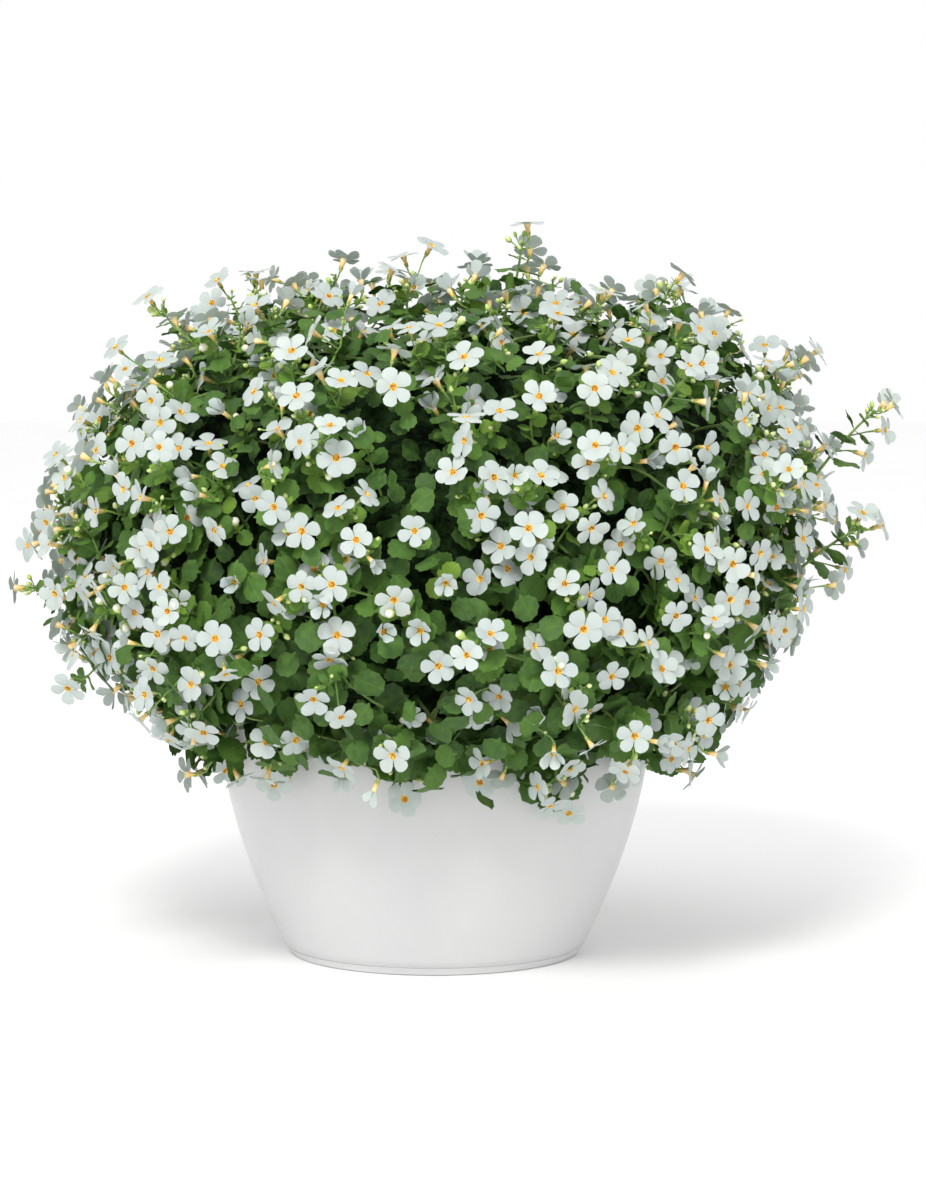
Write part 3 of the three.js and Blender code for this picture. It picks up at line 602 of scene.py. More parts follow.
class Growth:
    """The copies of small forms, and the stems, that belong to the branches."""

    def __init__(self):
        self.copies = {}
        self.tubes = []
        self.blooms_at = []

    def place(self, name, cell, origin, along, facing, size, tone, age_and_shade):
        """Put a copy with its +X along one way and its +Z as near as it can to another."""
        x = unit(along)
        z = unit(facing - x * (facing @ x))
        turn = np.stack([x, np.cross(z, x), z], axis=1) * size
        self.copies.setdefault((name, cell), []).append((origin, turn, tone, age_and_shade))

    def tube(self, cell, points, radii, tone, age_and_shade, sides=5):
        self.tubes.append((cell, np.array(points), np.array(radii), tone, age_and_shade, sides))

    def fill(self, heap, cells, blooms):
        """Add the copies that belong to some cells to a heap: their blooms, or all the rest."""
        for (name, owner), copies in self.copies.items():
            if owner in cells and ("bloom" in name) == blooms:
                heap.add_copies(FORMS[name], copies)


class Heap:
    """Corners and triangles on their way to one mesh."""

    def __init__(self):
        self.parts = []
        self.count = 0

    def add(self, corners, triangles, materials, spots, tones, ages_and_shade):
        self.parts.append((corners, triangles + self.count, materials, spots, tones, ages_and_shade))
        self.count += len(corners)

    def add_copies(self, one, copies):
        origins = np.array([c[0] for c in copies])
        turns = np.array([c[1] for c in copies])
        n, k = len(one["corners"]), len(copies)
        corners = np.einsum("kij,nj->kni", turns, one["corners"]) + origins[:, None, :]
        starts = (np.arange(k) * n)[:, None, None]
        self.add(
            corners.reshape(-1, 3),
            (one["triangles"][None] + starts).reshape(-1, 3),
            np.tile(one["materials"], k),
            np.tile(one["spots"], (k, 1)),
            np.repeat([c[2] for c in copies], n),
            np.repeat([c[3] for c in copies], n),
        )

    def add_tube(self, points, radii, tone, age_and_shade, sides):
        corners, triangles = tube_mesh(points, radii, sides)
        n = len(corners)
        spots = np.zeros((n, 3))
        spots[:, 1] = np.repeat(np.linspace(0, 1, len(points)), sides)
        self.add(corners, triangles, np.full(len(triangles), STEM), spots, np.full(n, tone), np.full(n, age_and_shade))

    def piece(self, name, materials):
        corners, triangles, slots, spots, tones, ages_and_shade = (
            np.concatenate([part[i] for part in self.parts]) for i in range(6)
        )
        used = np.unique(slots)
        mesh = mesh_from(name, corners, triangles)
        for slot in used:
            mesh.materials.append(materials[slot])
        mesh.polygons.foreach_set("material_index", np.searchsorted(used, slots).astype(np.int32))
        mesh.attributes.new("spot", "FLOAT_VECTOR", "POINT").data.foreach_set("vector", spots.ravel())
        for label, values in (("tone", tones), ("age_and_shade", ages_and_shade)):
            mesh.attributes.new(label, "FLOAT", "POINT").data.foreach_set("value", values)
        return linked(name, mesh)


def tube_mesh(points, radii, sides):
    ahead = np.gradient(points, axis=0)
    ahead /= np.linalg.norm(ahead, axis=1, keepdims=True)
    side = np.cross(ahead[0], NEAR_UP)
    corners = []
    for point, along, radius in zip(points, ahead, radii):
        side = unit(side - along * (side @ along))
        other = np.cross(along, side)
        for k in range(sides):
            angle = 2 * math.pi * k / sides
            corners.append(point + radius * (side * math.cos(angle) + other * math.sin(angle)))
    triangles = []
    for i in range(len(points) - 1):
        for k in range(sides):
            a, b = i * sides + k, i * sides + (k + 1) % sides
            triangles += [[a, b, b + sides], [a, b + sides, a + sides]]
    top = (len(points) - 1) * sides
    for k in range(1, sides - 1):
        triangles += [[0, k + 1, k], [top, top + k, top + k + 1]]
    return np.array(corners), np.array(triangles)


def mesh_from(name, corners, triangles):
    mesh = bpy.data.meshes.new(name)
    mesh.vertices.add(len(corners))
    mesh.vertices.foreach_set("co", (np.asarray(corners) * MM).astype(np.float32).ravel())
    mesh.loops.add(3 * len(triangles))
    mesh.loops.foreach_set("vertex_index", np.asarray(triangles).astype(np.int32).ravel())
    mesh.polygons.add(len(triangles))
    mesh.polygons.foreach_set("loop_start", np.arange(0, 3 * len(triangles), 3, dtype=np.int32))
    mesh.update(calc_edges=True)
    mesh.polygons.foreach_set("use_smooth", np.ones(len(triangles), bool))
    mesh.set_sharp_from_angle(angle=math.radians(SHARP_FROM))
    return mesh


def linked(name, mesh):
    piece = bpy.data.objects.new(name, mesh)
    bpy.context.scene.collection.objects.link(piece)
    return piece


# Shoots


def level(way):
    return np.array([way[0], way[1], 0.0])


def square_to(ahead, angle):
    """A way square to another, turned round it by an angle."""
    side = unit(np.cross(ahead, NEAR_UP))
    return side * math.cos(angle) + np.cross(ahead, side) * math.sin(angle)


def any_square_to(ahead, rng):
    return unit(np.cross(ahead, rng.normal(0, 1, 3)))


def curve_through(start, out_of, into, end, steps):
    """A smooth path from start to end, which leaves and arrives by two handles."""
    t = np.linspace(0, 1, steps)[:, None]
    return (1 - t) ** 3 * start + 3 * (1 - t) ** 2 * t * out_of + 3 * (1 - t) * t**2 * into + t**3 * end


def stem_past_pot(start, out_of, into, end, steps):
    """The same kind of path, kept off the pot."""
    return np.array([off_pot(point) for point in curve_through(start, out_of, into, end, steps)])


def place_back(path, distance):
    """The place that lies a distance back from the end of a path, and the way the path runs there."""
    steps = np.linalg.norm(np.diff(path, axis=0), axis=1)
    before_end = np.concatenate([np.cumsum(steps[::-1])[::-1], [0]])
    distance = min(distance, before_end[0] - 2)
    order = slice(None, None, -1)
    place = np.array([np.interp(distance, before_end[order], path[order, i]) for i in range(3)])
    near = np.array([np.interp(distance + 1.5, before_end[order], path[order, i]) for i in range(3)])
    return place, unit(place - near)


def leaf_scale(place):
    low = float(smoothstep((LEAF_SMALL_ABOVE - place[2]) / LEAF_GROWTH))
    return TOP_LEAF + (SKIRT_LEAF - TOP_LEAF) * low


def low_darkening(place):
    """What a leaf's place adds to its age value, and so to its darkness: the lower the leaf, the darker it
    is.
    """
    return 0.3 * float(smoothstep((POT_HEIGHT + 90 - place[2]) / 90))


def bloom_facing(face, draw):
    tilt = np.array([draw[1] - 0.5, draw[2] - 0.5, draw[3] - 0.5])
    return unit(face + level(face) * BLOOM_OUT + UP * BLOOM_LIFT + tilt * BLOOM_TILT)


def grow_leaf(growth, cell, base, out, ahead, face, length, age_and_shade, rng):
    """A leaf from its stem: out and forwards, with its face to the light."""
    aim = unit(out * rng.uniform(0.7, 1) + ahead * rng.uniform(0.1, 0.55) + rng.normal(0, 0.14, 3))
    light = unit(ahead * 0.3 + face * 0.75 + UP * 0.35 + rng.normal(0, 0.25, 3))
    end = base + aim * length
    wall = pot_radius_at(end[2]) + LEAF_OFF_POT if end[2] < POT_HEIGHT + LEAF_OFF_POT else 0
    if math.hypot(end[0], end[1]) < wall:
        aim = unit(aim + 0.8 * unit(level(base)))
    kind = f"leaf_{rng.integers(4)}"
    if length >= FINE_LEAF:
        kind = f"large_leaf_{rng.integers(3)}"
    if length < SMALL_LEAF:
        kind = f"small_leaf_{rng.integers(3)}"
    if length < YOUNG_LEAF:
        kind = f"young_leaf_{rng.integers(2)}"
    growth.place(kind, cell, base, aim, light, length, rng.random(), age_and_shade)


def grow_bloom(growth, cell, node, centre, facing, kind, rng, twist=None, size=1.0):
    """A bloom on its thin stalk from a node of the stem."""
    twist = math.radians(rng.uniform(0, 360) if twist is None else twist)
    growth.place(kind, cell, centre, -square_to(facing, twist), facing, size, rng.random(), 0.3)
    foot = centre - facing * (TUBE_LENGTH + 0.3) * size
    span = np.linalg.norm(foot - node)
    leaves_by = node + unit(foot - node + facing * 2) * span * 0.4
    path = curve_through(node, leaves_by, foot - facing * span * 0.4, foot, 4)
    growth.tube(cell, path, [0.55, 0.45, 0.45, 0.7], rng.random(), 0.2, sides=3)


def grow_bud(growth, cell, node, aim, length, size, rng):
    foot = node + aim * length
    kind = "large_bud" if rng.random() < 0.16 else "bud"
    growth.place(kind, cell, foot, np.cross(aim, NEAR_UP), aim, size, rng.random(), 0.15)
    middle = (node + foot) / 2 + rng.normal(0, 0.4, 3)
    growth.tube(cell, [node, middle, foot + aim * 0.3], [0.4, 0.35, 0.5], rng.random(), 0.15, sides=3)


def any_bloom(rng):
    if rng.random() < 0.2:
        return f"half_bloom_{rng.integers(2)}"
    return OPEN_BLOOMS[rng.integers(len(OPEN_BLOOMS))]


def grow_along(growth, cell, path, face, pairs, rng, buds):
    """Leaves in crossed pairs down a shoot, with young ones and buds at its tip."""
    start_turn = rng.uniform(0, math.pi)
    whole = np.linalg.norm(np.diff(path, axis=0), axis=1).sum()
    for i, (back, length) in enumerate(pairs):
        if back > whole - 4:
            break
        place, ahead = place_back(path, back)
        out = square_to(ahead, start_turn + i * math.pi / 2 + rng.normal(0, 0.2))
        age_and_shade = min(1.0, back / 55) * rng.uniform(0.6, 1.1) + low_darkening(place)
        for way in (1, -1):
            size = length * leaf_scale(place) * (1 + LEAF_VARIETY * (rng.random() - 0.5))
            grow_leaf(growth, cell, place, out * way, ahead, face, size, age_and_shade, rng)
    for _ in range(buds):
        place, ahead = place_back(path, rng.uniform(0.5, 9))
        aside = any_square_to(ahead, rng)
        aim = unit(ahead * rng.uniform(0.3, 1.2) + aside + face * 0.3)
        grow_bud(growth, cell, place, aim, rng.uniform(2.5, 7), rng.uniform(0.5, 1.05), rng)


def grow_axil_bloom(growth, cell, path, face, rng, near, far):
    """A bloom on its stalk from somewhere near the tip of a shoot, clear of the blooms so far."""
    for _ in range(BLOOM_TRIES):
        node, _ = place_back(path, rng.uniform(near, far))
        aside = any_square_to(face, rng)
        aim = unit(face * 0.75 + aside * rng.uniform(0.2, 1.1) + level(face) * 0.25 + UP * 0.15)
        centre = off_pot(node + aim * rng.uniform(*STALK_REACH), BLOOM_OFF_POT)
        crowded = face[2] > CROWN_FACES or node[2] < POT_HEIGHT + RIM_BLOOMS
        spacing = BLOOM_SPACING * (1.5 if crowded else 1)
        if np.linalg.norm(np.array(growth.blooms_at) - centre, axis=1).min() > spacing:
            growth.blooms_at.append(centre)
            facing = unit(aim + rng.normal(0, 0.28, 3))
            size = rng.uniform(0.84, 1.02)
            grow_bloom(growth, cell, node, centre, facing, any_bloom(rng), rng, size=size)
            return


def grow_side_shoots(growth, cell, path, tip, face, rng):
    """Side shoots that fill out the clump round the tip of a main shoot."""
    count = int(rng.integers(*SIDE_SHOOTS))
    turn = rng.uniform(0, 2 * math.pi)
    for i in range(count):
        start, ahead = place_back(path, rng.uniform(24, 60))
        angle = turn + 2 * math.pi * (i + rng.uniform(-0.3, 0.3)) / count
        aside = square_to(face, angle)
        reach = rng.uniform(*SIDE_REACH)
        end = off_pot(tip - face * (10 + rng.uniform(*SIDE_DEPTH)) + aside * reach)
        grows = unit(face + aside * 0.35 + UP * rng.uniform(-0.2, 0.4) + rng.normal(0, 0.2, 3))
        span = np.linalg.norm(end - start)
        leaves_by = start + (ahead + aside * 0.6) * span * 0.35
        shoot = stem_past_pot(start, leaves_by, end - grows * span * 0.35, end, 7)
        growth.tube(cell, shoot, np.linspace(*SIDE_STEM, 7), rng.random(), 0.4, sides=4)
        side_face = unit(face + aside * 0.2)
        grow_along(growth, cell, shoot, side_face, SIDE_PAIRS, rng, buds=int(rng.integers(1, 4)))
        for _ in range(AXIL_BLOOMS):
            grow_axil_bloom(growth, cell, shoot, side_face, rng, 0.5, 18)


def shoot_tip(number):
    """Where the tip of a main shoot stands: degrees round and down, its place, and its draw."""
    around, down = spread_place(number, SPREAD_START)
    draw = draws_from(SHOOT_SEED + number, 5)
    return around, down, mound_point(around, down, TIP_UNEVENNESS * (draw[0] - TIP_UNEVEN_SHARE)), draw


def grow_shoot(growth, number):
    """A main shoot from the middle of its branch, with a bloom at its tip."""
    around, down, tip, draw = shoot_tip(number)
    face = mound_normal(around, down)
    rng = np.random.default_rng(SHOOT_SEED + number)
    cell = cell_at(tip)
    hub = hub_of(CELLS[cell])
    aside = any_square_to(face, rng)
    end = off_pot(tip - face * rng.uniform(6, 11) + aside * rng.uniform(3, 8))
    grows = unit(face * 0.9 + UP * rng.uniform(-0.1, 0.5) + rng.normal(0, 0.25, 3))
    reach = np.linalg.norm(end - hub)
    middle = hub + (end - hub) * 0.3 + UP * reach * 0.08 + rng.normal(0, 5, 3)
    path = stem_past_pot(hub, middle, end - grows * reach * 0.35, end, 11)
    growth.tube(cell, path, np.linspace(*SHOOT_STEM, 11), rng.random(), 0.5)
    grow_along(growth, cell, path, face, LEAF_PAIRS, rng, buds=int(rng.integers(2, 5)))
    node, _ = place_back(path, rng.uniform(3, 8))
    kind = OPEN_BLOOMS[rng.integers(len(OPEN_BLOOMS))]
    grow_bloom(growth, cell, node, tip, bloom_facing(face, draw), kind, rng, 360 * draw[4])
    for _ in range(AXIL_BLOOMS):
        grow_axil_bloom(growth, cell, path, face, rng, 4, 30)
    grow_side_shoots(growth, cell, path, tip, face, rng)


def grow_spray(growth, seed, tip, pairs, radii, buds, blooms, end_bloom=True):
    """A long spray that arches out of the mound, as a rule with a bloom at its tip.

    pairs are its leaves and blooms its other blooms, by how far back from the tip they stand. A
    spray that hangs past the pot has one of those blooms alone.
    """
    tip = np.array(tip, float)
    face = unit(tip - np.array([0, 0, MOUND_HEART]))
    draw = draws_from(seed, 5)
    rng = np.random.default_rng(seed)
    cell = cell_at(tip)
    hub = hub_of(CELLS[cell])
    facing = bloom_facing(face, [0, *draw[:3]])
    end = off_pot(tip - face * 11)
    reach = np.linalg.norm(end - hub)
    hangs = tip[2] < HANGS_UNDER
    out = unit(level(face) + 1e-6)
    middle = hub + (end - hub) * 0.35 + (out * 0.3 if hangs else UP * 0.12) * reach
    grows = unit(face + (-0.9 if hangs else 0.35) * UP + rng.normal(0, 0.1, 3))
    path = stem_past_pot(hub, middle, end - grows * reach * 0.33, end, 15)
    growth.tube(cell, path, np.linspace(*radii, 15), rng.random(), 0.6, sides=5)
    leaf_face = unit(out + UP * 0.25) if hangs else face
    grow_along(growth, cell, path, leaf_face, pairs, rng, buds=buds)
    node, _ = place_back(path, 3)
    if end_bloom:
        grow_bloom(growth, cell, node, tip, facing, OPEN_BLOOMS[0], rng)
    for back in blooms[1:2] if hangs else blooms:
        grow_axil_bloom(growth, cell, path, unit(leaf_face + UP * 0.3), rng, back, back + 8)


def grow_curtain(growth):
    """Short sprays that hang over the rim all round, some lower than others."""
    rng = np.random.default_rng(CURTAIN_SEED)
    for number in range(CURTAIN):
        turn = math.radians(360 * (number + rng.uniform(-0.35, 0.35)) / CURTAIN)
        radius = rng.uniform(*CURTAIN_RADIUS)
        height = rng.uniform(*CURTAIN_HEIGHT)
        tip = (radius * math.cos(turn), radius * math.sin(turn), height)
        ends = number % CURTAIN_BLOOMS == 0
        grow_spray(growth, CURTAIN_SEED + number, tip, CURTAIN_PAIRS, CURTAIN_STEM, 2, (), ends)


def grow_gap_blooms(growth):
    """Small flowering shoots wherever the mound would be without a bloom."""
    rng = np.random.default_rng(GAP_SEED)
    for number in range(GAP_SPOTS):
        around, down = spread_place(number)
        face = mound_normal(around, down)
        tip = off_pot(mound_point(around, down, rng.uniform(4, 16)), BLOOM_OFF_POT)
        crowded = face[2] > CROWN_FACES or tip[2] < POT_HEIGHT + RIM_BLOOMS
        if crowded or np.linalg.norm(np.array(growth.blooms_at) - tip, axis=1).min() < GAP_WIDTH:
            continue
        growth.blooms_at.append(tip)
        cell = cell_at(tip)
        aside = any_square_to(face, rng)
        root = tip - face * 48 + aside * 14
        end = tip - face * 14
        shoot = curve_through(root, root + face * 14, end - face * 12 - aside * 3, end, 6)
        growth.tube(cell, shoot, np.linspace(*GAP_STEM, 6), rng.random(), 0.4, sides=4)
        grow_along(growth, cell, shoot, face, GAP_PAIRS, rng, buds=1)
        facing = unit(face + level(face) * 0.3 + rng.normal(0, 0.3, 3))
        grow_bloom(growth, cell, end, tip, facing, any_bloom(rng), rng, size=rng.uniform(0.86, 1.0))


def grow_inner_leaves(growth):
    """Older leaves under the shoots, which close the view into the mound; the deeper a leaf lies, the darker
    it is painted, as painted shade.
    """
    rng = np.random.default_rng(INNER_SEED)
    for number in range(INNER_LEAVES):
        around, down = spread_place(number)
        under = rng.uniform(*INNER_DEPTH)
        place = off_pot(mound_point(around, down, under), INNER_OFF_POT)
        face = mound_normal(around, down)
        aside = unit(np.cross(face, rng.normal(0, 1, 3)) + face * rng.uniform(-0.1, 0.6))
        light = unit(face + UP * 0.3 + rng.normal(0, 0.45, 3))
        # The age value grows with depth, so the deeper leaves are painted darker: painted shade.
        age_and_shade = 0.6 + 0.6 * (under - INNER_DEPTH[0]) / (INNER_DEPTH[1] - INNER_DEPTH[0])
        size = rng.uniform(*INNER_SIZE) * leaf_scale(place)
        growth.place(f"inner_leaf_{number % 4}", cell_at(place), place, aside, light, size, rng.random(), age_and_shade)


def painted_shade_core():
    """The dense middle of the mound, which the shoots stand out of: a closed shell painted near-black, as
    painted shade between the shoots.
    """
    rng = np.random.default_rng(CORE_SEED)
    corners = []
    for down in np.linspace(3, SKIRT_END, CORE_RINGS):
        for k in range(CORE_SIDES):
            place = mound_point(360 * k / CORE_SIDES, down, CORE_DEPTH + rng.uniform(-7, 7))
            place[2] = max(place[2], CORE_FLOOR + rng.uniform(0, 4))
            corners.append(place)
    corners = [mound_point(0, 0, CORE_DEPTH), *corners, [0, 0, CORE_FLOOR]]
    whole = mesh_from("painted_shade_core", corners, closed_rings(CORE_SIDES, CORE_RINGS))
    piece = linked("painted_shade_core", whole)
    piece.data.materials.append(painted_shade_material())
    return piece


def grow_main_stems(growth):
    """The stem of each branch: out of the soil, over the rim if it hangs, to the branch's middle."""
    rng = np.random.default_rng(STEM_SEED)
    for i, cell in enumerate(CELLS):
        ring = cell["ring"]
        out = direction_to(cell["round"], 90)
        foot = out * ring["stem_at"] + UP * (SOIL_TOP - STEM_DEPTH)
        mouth = foot + UP * (STEM_DEPTH + 6)
        route = [foot, mouth]
        if ring is BRANCH_RINGS[-1]:
            route.append(out * STEM_OVER_RIM[0] + UP * STEM_OVER_RIM[1])
        route.append(hub_of(cell))
        growth.tube(i, route, np.full(len(route), MAIN_STEM), rng.random(), 1.0, sides=8)


# Materials


class Nodes:
    """A material's node tree, built one node at a time."""

    def __init__(self, name):
        self.material = bpy.data.materials.new(name)
        self.material.use_nodes = True
        self.tree = self.material.node_tree
        self.tree.nodes.clear()

    def node(self, kind, settings=None, **inputs):
        made = self.tree.nodes.new(kind)
        for key, value in (settings or {}).items():
            setattr(made, key, value)
        for key, value in inputs.items():
            self.put(made.inputs[key.replace("_", " ")], value)
        return made

    def put(self, socket, value):
        if isinstance(value, bpy.types.NodeSocket):
            self.tree.links.new(value, socket)
        else:
            socket.default_value = value

    def attribute(self, name, output="Fac"):
        return self.node("ShaderNodeAttribute", {"attribute_name": name}).outputs[output]

    def math(self, operation, *values):
        made = self.node("ShaderNodeMath", {"operation": operation})
        for socket, value in zip(made.inputs, values):
            self.put(socket, value)
        return made.outputs[0]

    def times(self, first, second):
        return self.math("MULTIPLY", first, second)

    def mix(self, share, first, second, blend="MIX"):
        made = self.node("ShaderNodeMix", {"data_type": "RGBA", "blend_type": blend})
        for index, value in ((0, share), (6, first), (7, second)):
            self.put(made.inputs[index], value)
        return made.outputs[2]

    def range(self, value, low, high, to_low=0.0, to_high=1.0):
        made = self.node("ShaderNodeMapRange", {"interpolation_type": "SMOOTHSTEP"})
        for index, each in enumerate((value, low, high, to_low, to_high)):
            self.put(made.inputs[index], each)
        return made.outputs[0]

    def noise(self, scale, detail=3.0, roughness=0.5):
        where = self.node("ShaderNodeTexCoord").outputs["Object"]
        made = self.node("ShaderNodeTexNoise", Vector=where, Scale=scale, Detail=detail, Roughness=roughness)
        return made.outputs["Fac"]

    def bump(self, height, strength, distance):
        made = self.node("ShaderNodeBump", Height=height, Strength=strength, Distance=distance)
        return made.outputs["Normal"]

    def finish(self, colour, normal=None, through=0.0, through_colour=None, **settings):
        """End in a Principled shader, with a share of light let through from behind."""
        shader = self.node("ShaderNodeBsdfPrincipled")
        self.put(shader.inputs["Base Color"], colour)
        if normal is not None:
            self.put(shader.inputs["Normal"], normal)
        for key, value in settings.items():
            self.put(shader.inputs[key.replace("_", " ")], value)
        last = shader.outputs[0]
        if through:
            glow = self.node("ShaderNodeBsdfTranslucent")
            self.put(glow.inputs["Color"], through_colour if through_colour is not None else colour)
            mixed = self.node("ShaderNodeMixShader")
            self.put(mixed.inputs[0], through)
            self.put(mixed.inputs[1], last)
            self.put(mixed.inputs[2], glow.outputs[0])
            last = mixed.outputs[0]
        out = self.node("ShaderNodeOutputMaterial")
        self.put(out.inputs["Surface"], last)
        return self.material


def spot_parts(nodes):
    apart = nodes.node("ShaderNodeSeparateXYZ")
    nodes.put(apart.inputs[0], nodes.attribute("spot", "Vector"))
    return apart.outputs


def leaf_material():
    nodes = Nodes("bacopa_leaf")
    across, along, under = spot_parts(nodes)
    tone, age_and_shade = nodes.attribute("tone"), nodes.attribute("age_and_shade")
    young = nodes.mix(tone, (0.235, 0.39, 0.045, 1), (0.135, 0.3, 0.04, 1))
    grown = nodes.mix(tone, (0.105, 0.22, 0.038, 1), (0.048, 0.125, 0.026, 1))
    # The darkest greens stand for old leaves and for painted shade both: a leaf deep in the mound gets a
    # higher age value and so a darker colour.
    old_and_shaded = nodes.mix(tone, (0.038, 0.098, 0.018, 1), (0.016, 0.048, 0.01, 1))
    colour = nodes.mix(nodes.range(age_and_shade, 0.02, 0.3), young, grown)
    colour = nodes.mix(nodes.range(age_and_shade, 0.5, 1.0), colour, old_and_shaded)
    mottle = nodes.noise(260, 4)
    colour = nodes.mix(nodes.range(mottle, 0.3, 0.75, 0, 0.25), colour, (0.2, 0.38, 0.06, 1))
    side = nodes.math("ABSOLUTE", across)
    run = nodes.math("SUBTRACT", nodes.times(along, 6.5), nodes.times(side, 2.0))
    wave = nodes.math("ABSOLUTE", nodes.math("SUBTRACT", nodes.math("FRACT", run), 0.5))
    side_veins = nodes.range(wave, 0.0, 0.11, 1, 0)
    midrib = nodes.range(side, 0.01, 0.09, 1, 0)
    veins = nodes.math("MAXIMUM", nodes.times(side_veins, 0.5), midrib)
    lighter = nodes.mix(1.0, colour, (1.7, 1.6, 1.9, 1), "MULTIPLY")
    shown = nodes.range(age_and_shade, 0.6, 1.1, 0.35, 0.12)
    colour = nodes.mix(nodes.times(veins, shown), colour, lighter)
    pale = nodes.mix(1.0, colour, (1.5, 1.35, 1.6, 1), "MULTIPLY")
    colour = nodes.mix(under, colour, pale)
    height = nodes.math("SUBTRACT", nodes.times(mottle, 0.5), veins)
    normal = nodes.bump(height, 0.5, 0.0004)
    rough = nodes.range(mottle, 0.3, 0.7, 0.5, 0.68)
    bright = nodes.mix(0.5, colour, (0.3, 0.5, 0.04, 1))
    settings = {"Roughness": rough, "Specular_IOR_Level": 0.3}
    return nodes.finish(colour, normal, 0.22, bright, **settings)


def painted_shade_material():
    nodes = Nodes("bacopa_painted_shade")
    # Near-black greens in patches: painted shade of the mound's depths.
    patches = nodes.range(nodes.noise(150, 5, 0.65), 0.4, 0.6)
    colour = nodes.mix(patches, (0.003, 0.007, 0.002, 1), (0.014, 0.036, 0.008, 1))
    normal = nodes.bump(nodes.noise(150, 4), 0.8, 0.004)
    return nodes.finish(colour, normal, Roughness=0.9, Specular_IOR_Level=0.1)


def stem_material():
    nodes = Nodes("bacopa_stem")
    _, along, _ = spot_parts(nodes)
    tone, age_and_shade = nodes.attribute("tone"), nodes.attribute("age_and_shade")
    green = nodes.mix(tone, (0.13, 0.25, 0.04, 1), (0.2, 0.33, 0.06, 1))
    brown = nodes.mix(nodes.noise(420), (0.1, 0.075, 0.03, 1), (0.17, 0.13, 0.05, 1))
    woody = nodes.times(nodes.range(age_and_shade, 0.3, 1.0), nodes.range(along, 0.0, 0.9, 1, 0.1))
    colour = nodes.mix(woody, green, brown)
    normal = nodes.bump(nodes.noise(900), 0.4, 0.0003)
    return nodes.finish(colour, normal, Roughness=0.6, Sheen_Weight=0.3)


def bud_material():
    nodes = Nodes("bacopa_bud")
    _, along, _ = spot_parts(nodes)
    tone = nodes.attribute("tone")
    tip = nodes.mix(tone, (0.7, 0.74, 0.36, 1), (0.46, 0.62, 0.16, 1))
    colour = nodes.mix(nodes.range(along, 0.1, 0.6), (0.3, 0.46, 0.08, 1), tip)
    colour = nodes.mix(nodes.range(along, 1.0, 1.3), colour, (0.78, 0.78, 0.66, 1))
    normal = nodes.bump(nodes.noise(1200), 0.3, 0.0002)
    return nodes.finish(colour, normal, Roughness=0.5)


def petal_material():
    nodes = Nodes("bacopa_petal")
    across, along, _ = spot_parts(nodes)
    tone = nodes.attribute("tone")
    white = nodes.mix(tone, (0.715, 0.775, 0.74, 1), (0.635, 0.7, 0.68, 1))
    ribs = nodes.math("ABSOLUTE", nodes.math("SINE", nodes.times(across, 9)))
    grey = nodes.mix(0.5, white, (0.45, 0.53, 0.56, 1))
    # Faint grey in the low lines between the ribs: the petal's veins, and painted shade in their grooves.
    faint = nodes.times(nodes.range(ribs, 0.0, 0.4, 0.3, 0), nodes.range(along, 0.15, 1, 1, 0.2))
    colour = nodes.mix(faint, white, grey)
    # Greyer towards the petal's foot round the throat: painted shade.
    colour = nodes.mix(nodes.range(along, 0.05, 0.55, 0.28, 0), colour, grey)
    colour = nodes.mix(nodes.range(along, 0.0, 0.11, 0.9, 0), colour, (0.9, 0.74, 0.3, 1))
    colour = nodes.mix(nodes.range(nodes.noise(500), 0.35, 0.7, 0, 0.1), colour, (0.62, 0.67, 0.74, 1))
    normal = nodes.bump(nodes.math("ADD", ribs, nodes.noise(700)), 0.25, 0.0002)
    return nodes.finish(colour, normal, 0.4, Roughness=0.55)


def throat_material():
    nodes = Nodes("bacopa_throat")
    _, along, _ = spot_parts(nodes)
    outside = nodes.mix(nodes.range(along, 0.0, 0.5), (0.5, 0.5, 0.14, 1), (0.88, 0.56, 0.17, 1))
    outside = nodes.mix(nodes.range(along, 0.45, 0.8), outside, (0.86, 0.74, 0.46, 1))
    inside = nodes.mix(nodes.range(along, 1.0, 1.5), (0.92, 0.68, 0.1, 1), (0.78, 0.42, 0.04, 1))
    colour = nodes.mix(nodes.range(along, 0.82, 0.98), outside, inside)
    spots = nodes.times(nodes.range(nodes.noise(900), 0.44, 0.58), nodes.range(along, 0.95, 1.0))
    colour = nodes.mix(spots, colour, (0.38, 0.13, 0.015, 1))
    normal = nodes.bump(nodes.noise(1800), 0.3, 0.0002)
    return nodes.finish(colour, normal, Roughness=0.5)


def anther_material():
    nodes = Nodes("bacopa_anther")
    colour = nodes.mix(nodes.range(nodes.noise(1100), 0.4, 0.6), (0.45, 0.17, 0.02, 1), (0.88, 0.6, 0.1, 1))
    return nodes.finish(colour, nodes.bump(nodes.noise(4000), 0.4, 0.0002), Roughness=0.7)


def pot_material():
    nodes = Nodes("pot_plastic")
    cloud = nodes.noise(14, 4)
    colour = nodes.mix(nodes.range(cloud, 0.3, 0.7), (0.605, 0.61, 0.615, 1), (0.63, 0.635, 0.635, 1))
    grain = nodes.noise(1600, 2)
    normal = nodes.bump(nodes.math("ADD", nodes.times(cloud, 0.6), grain), 0.06, 0.0004)
    rough = nodes.range(nodes.noise(60), 0.3, 0.7, 0.36, 0.46)
    return nodes.finish(colour, normal, Roughness=rough, Coat_Weight=0.08)


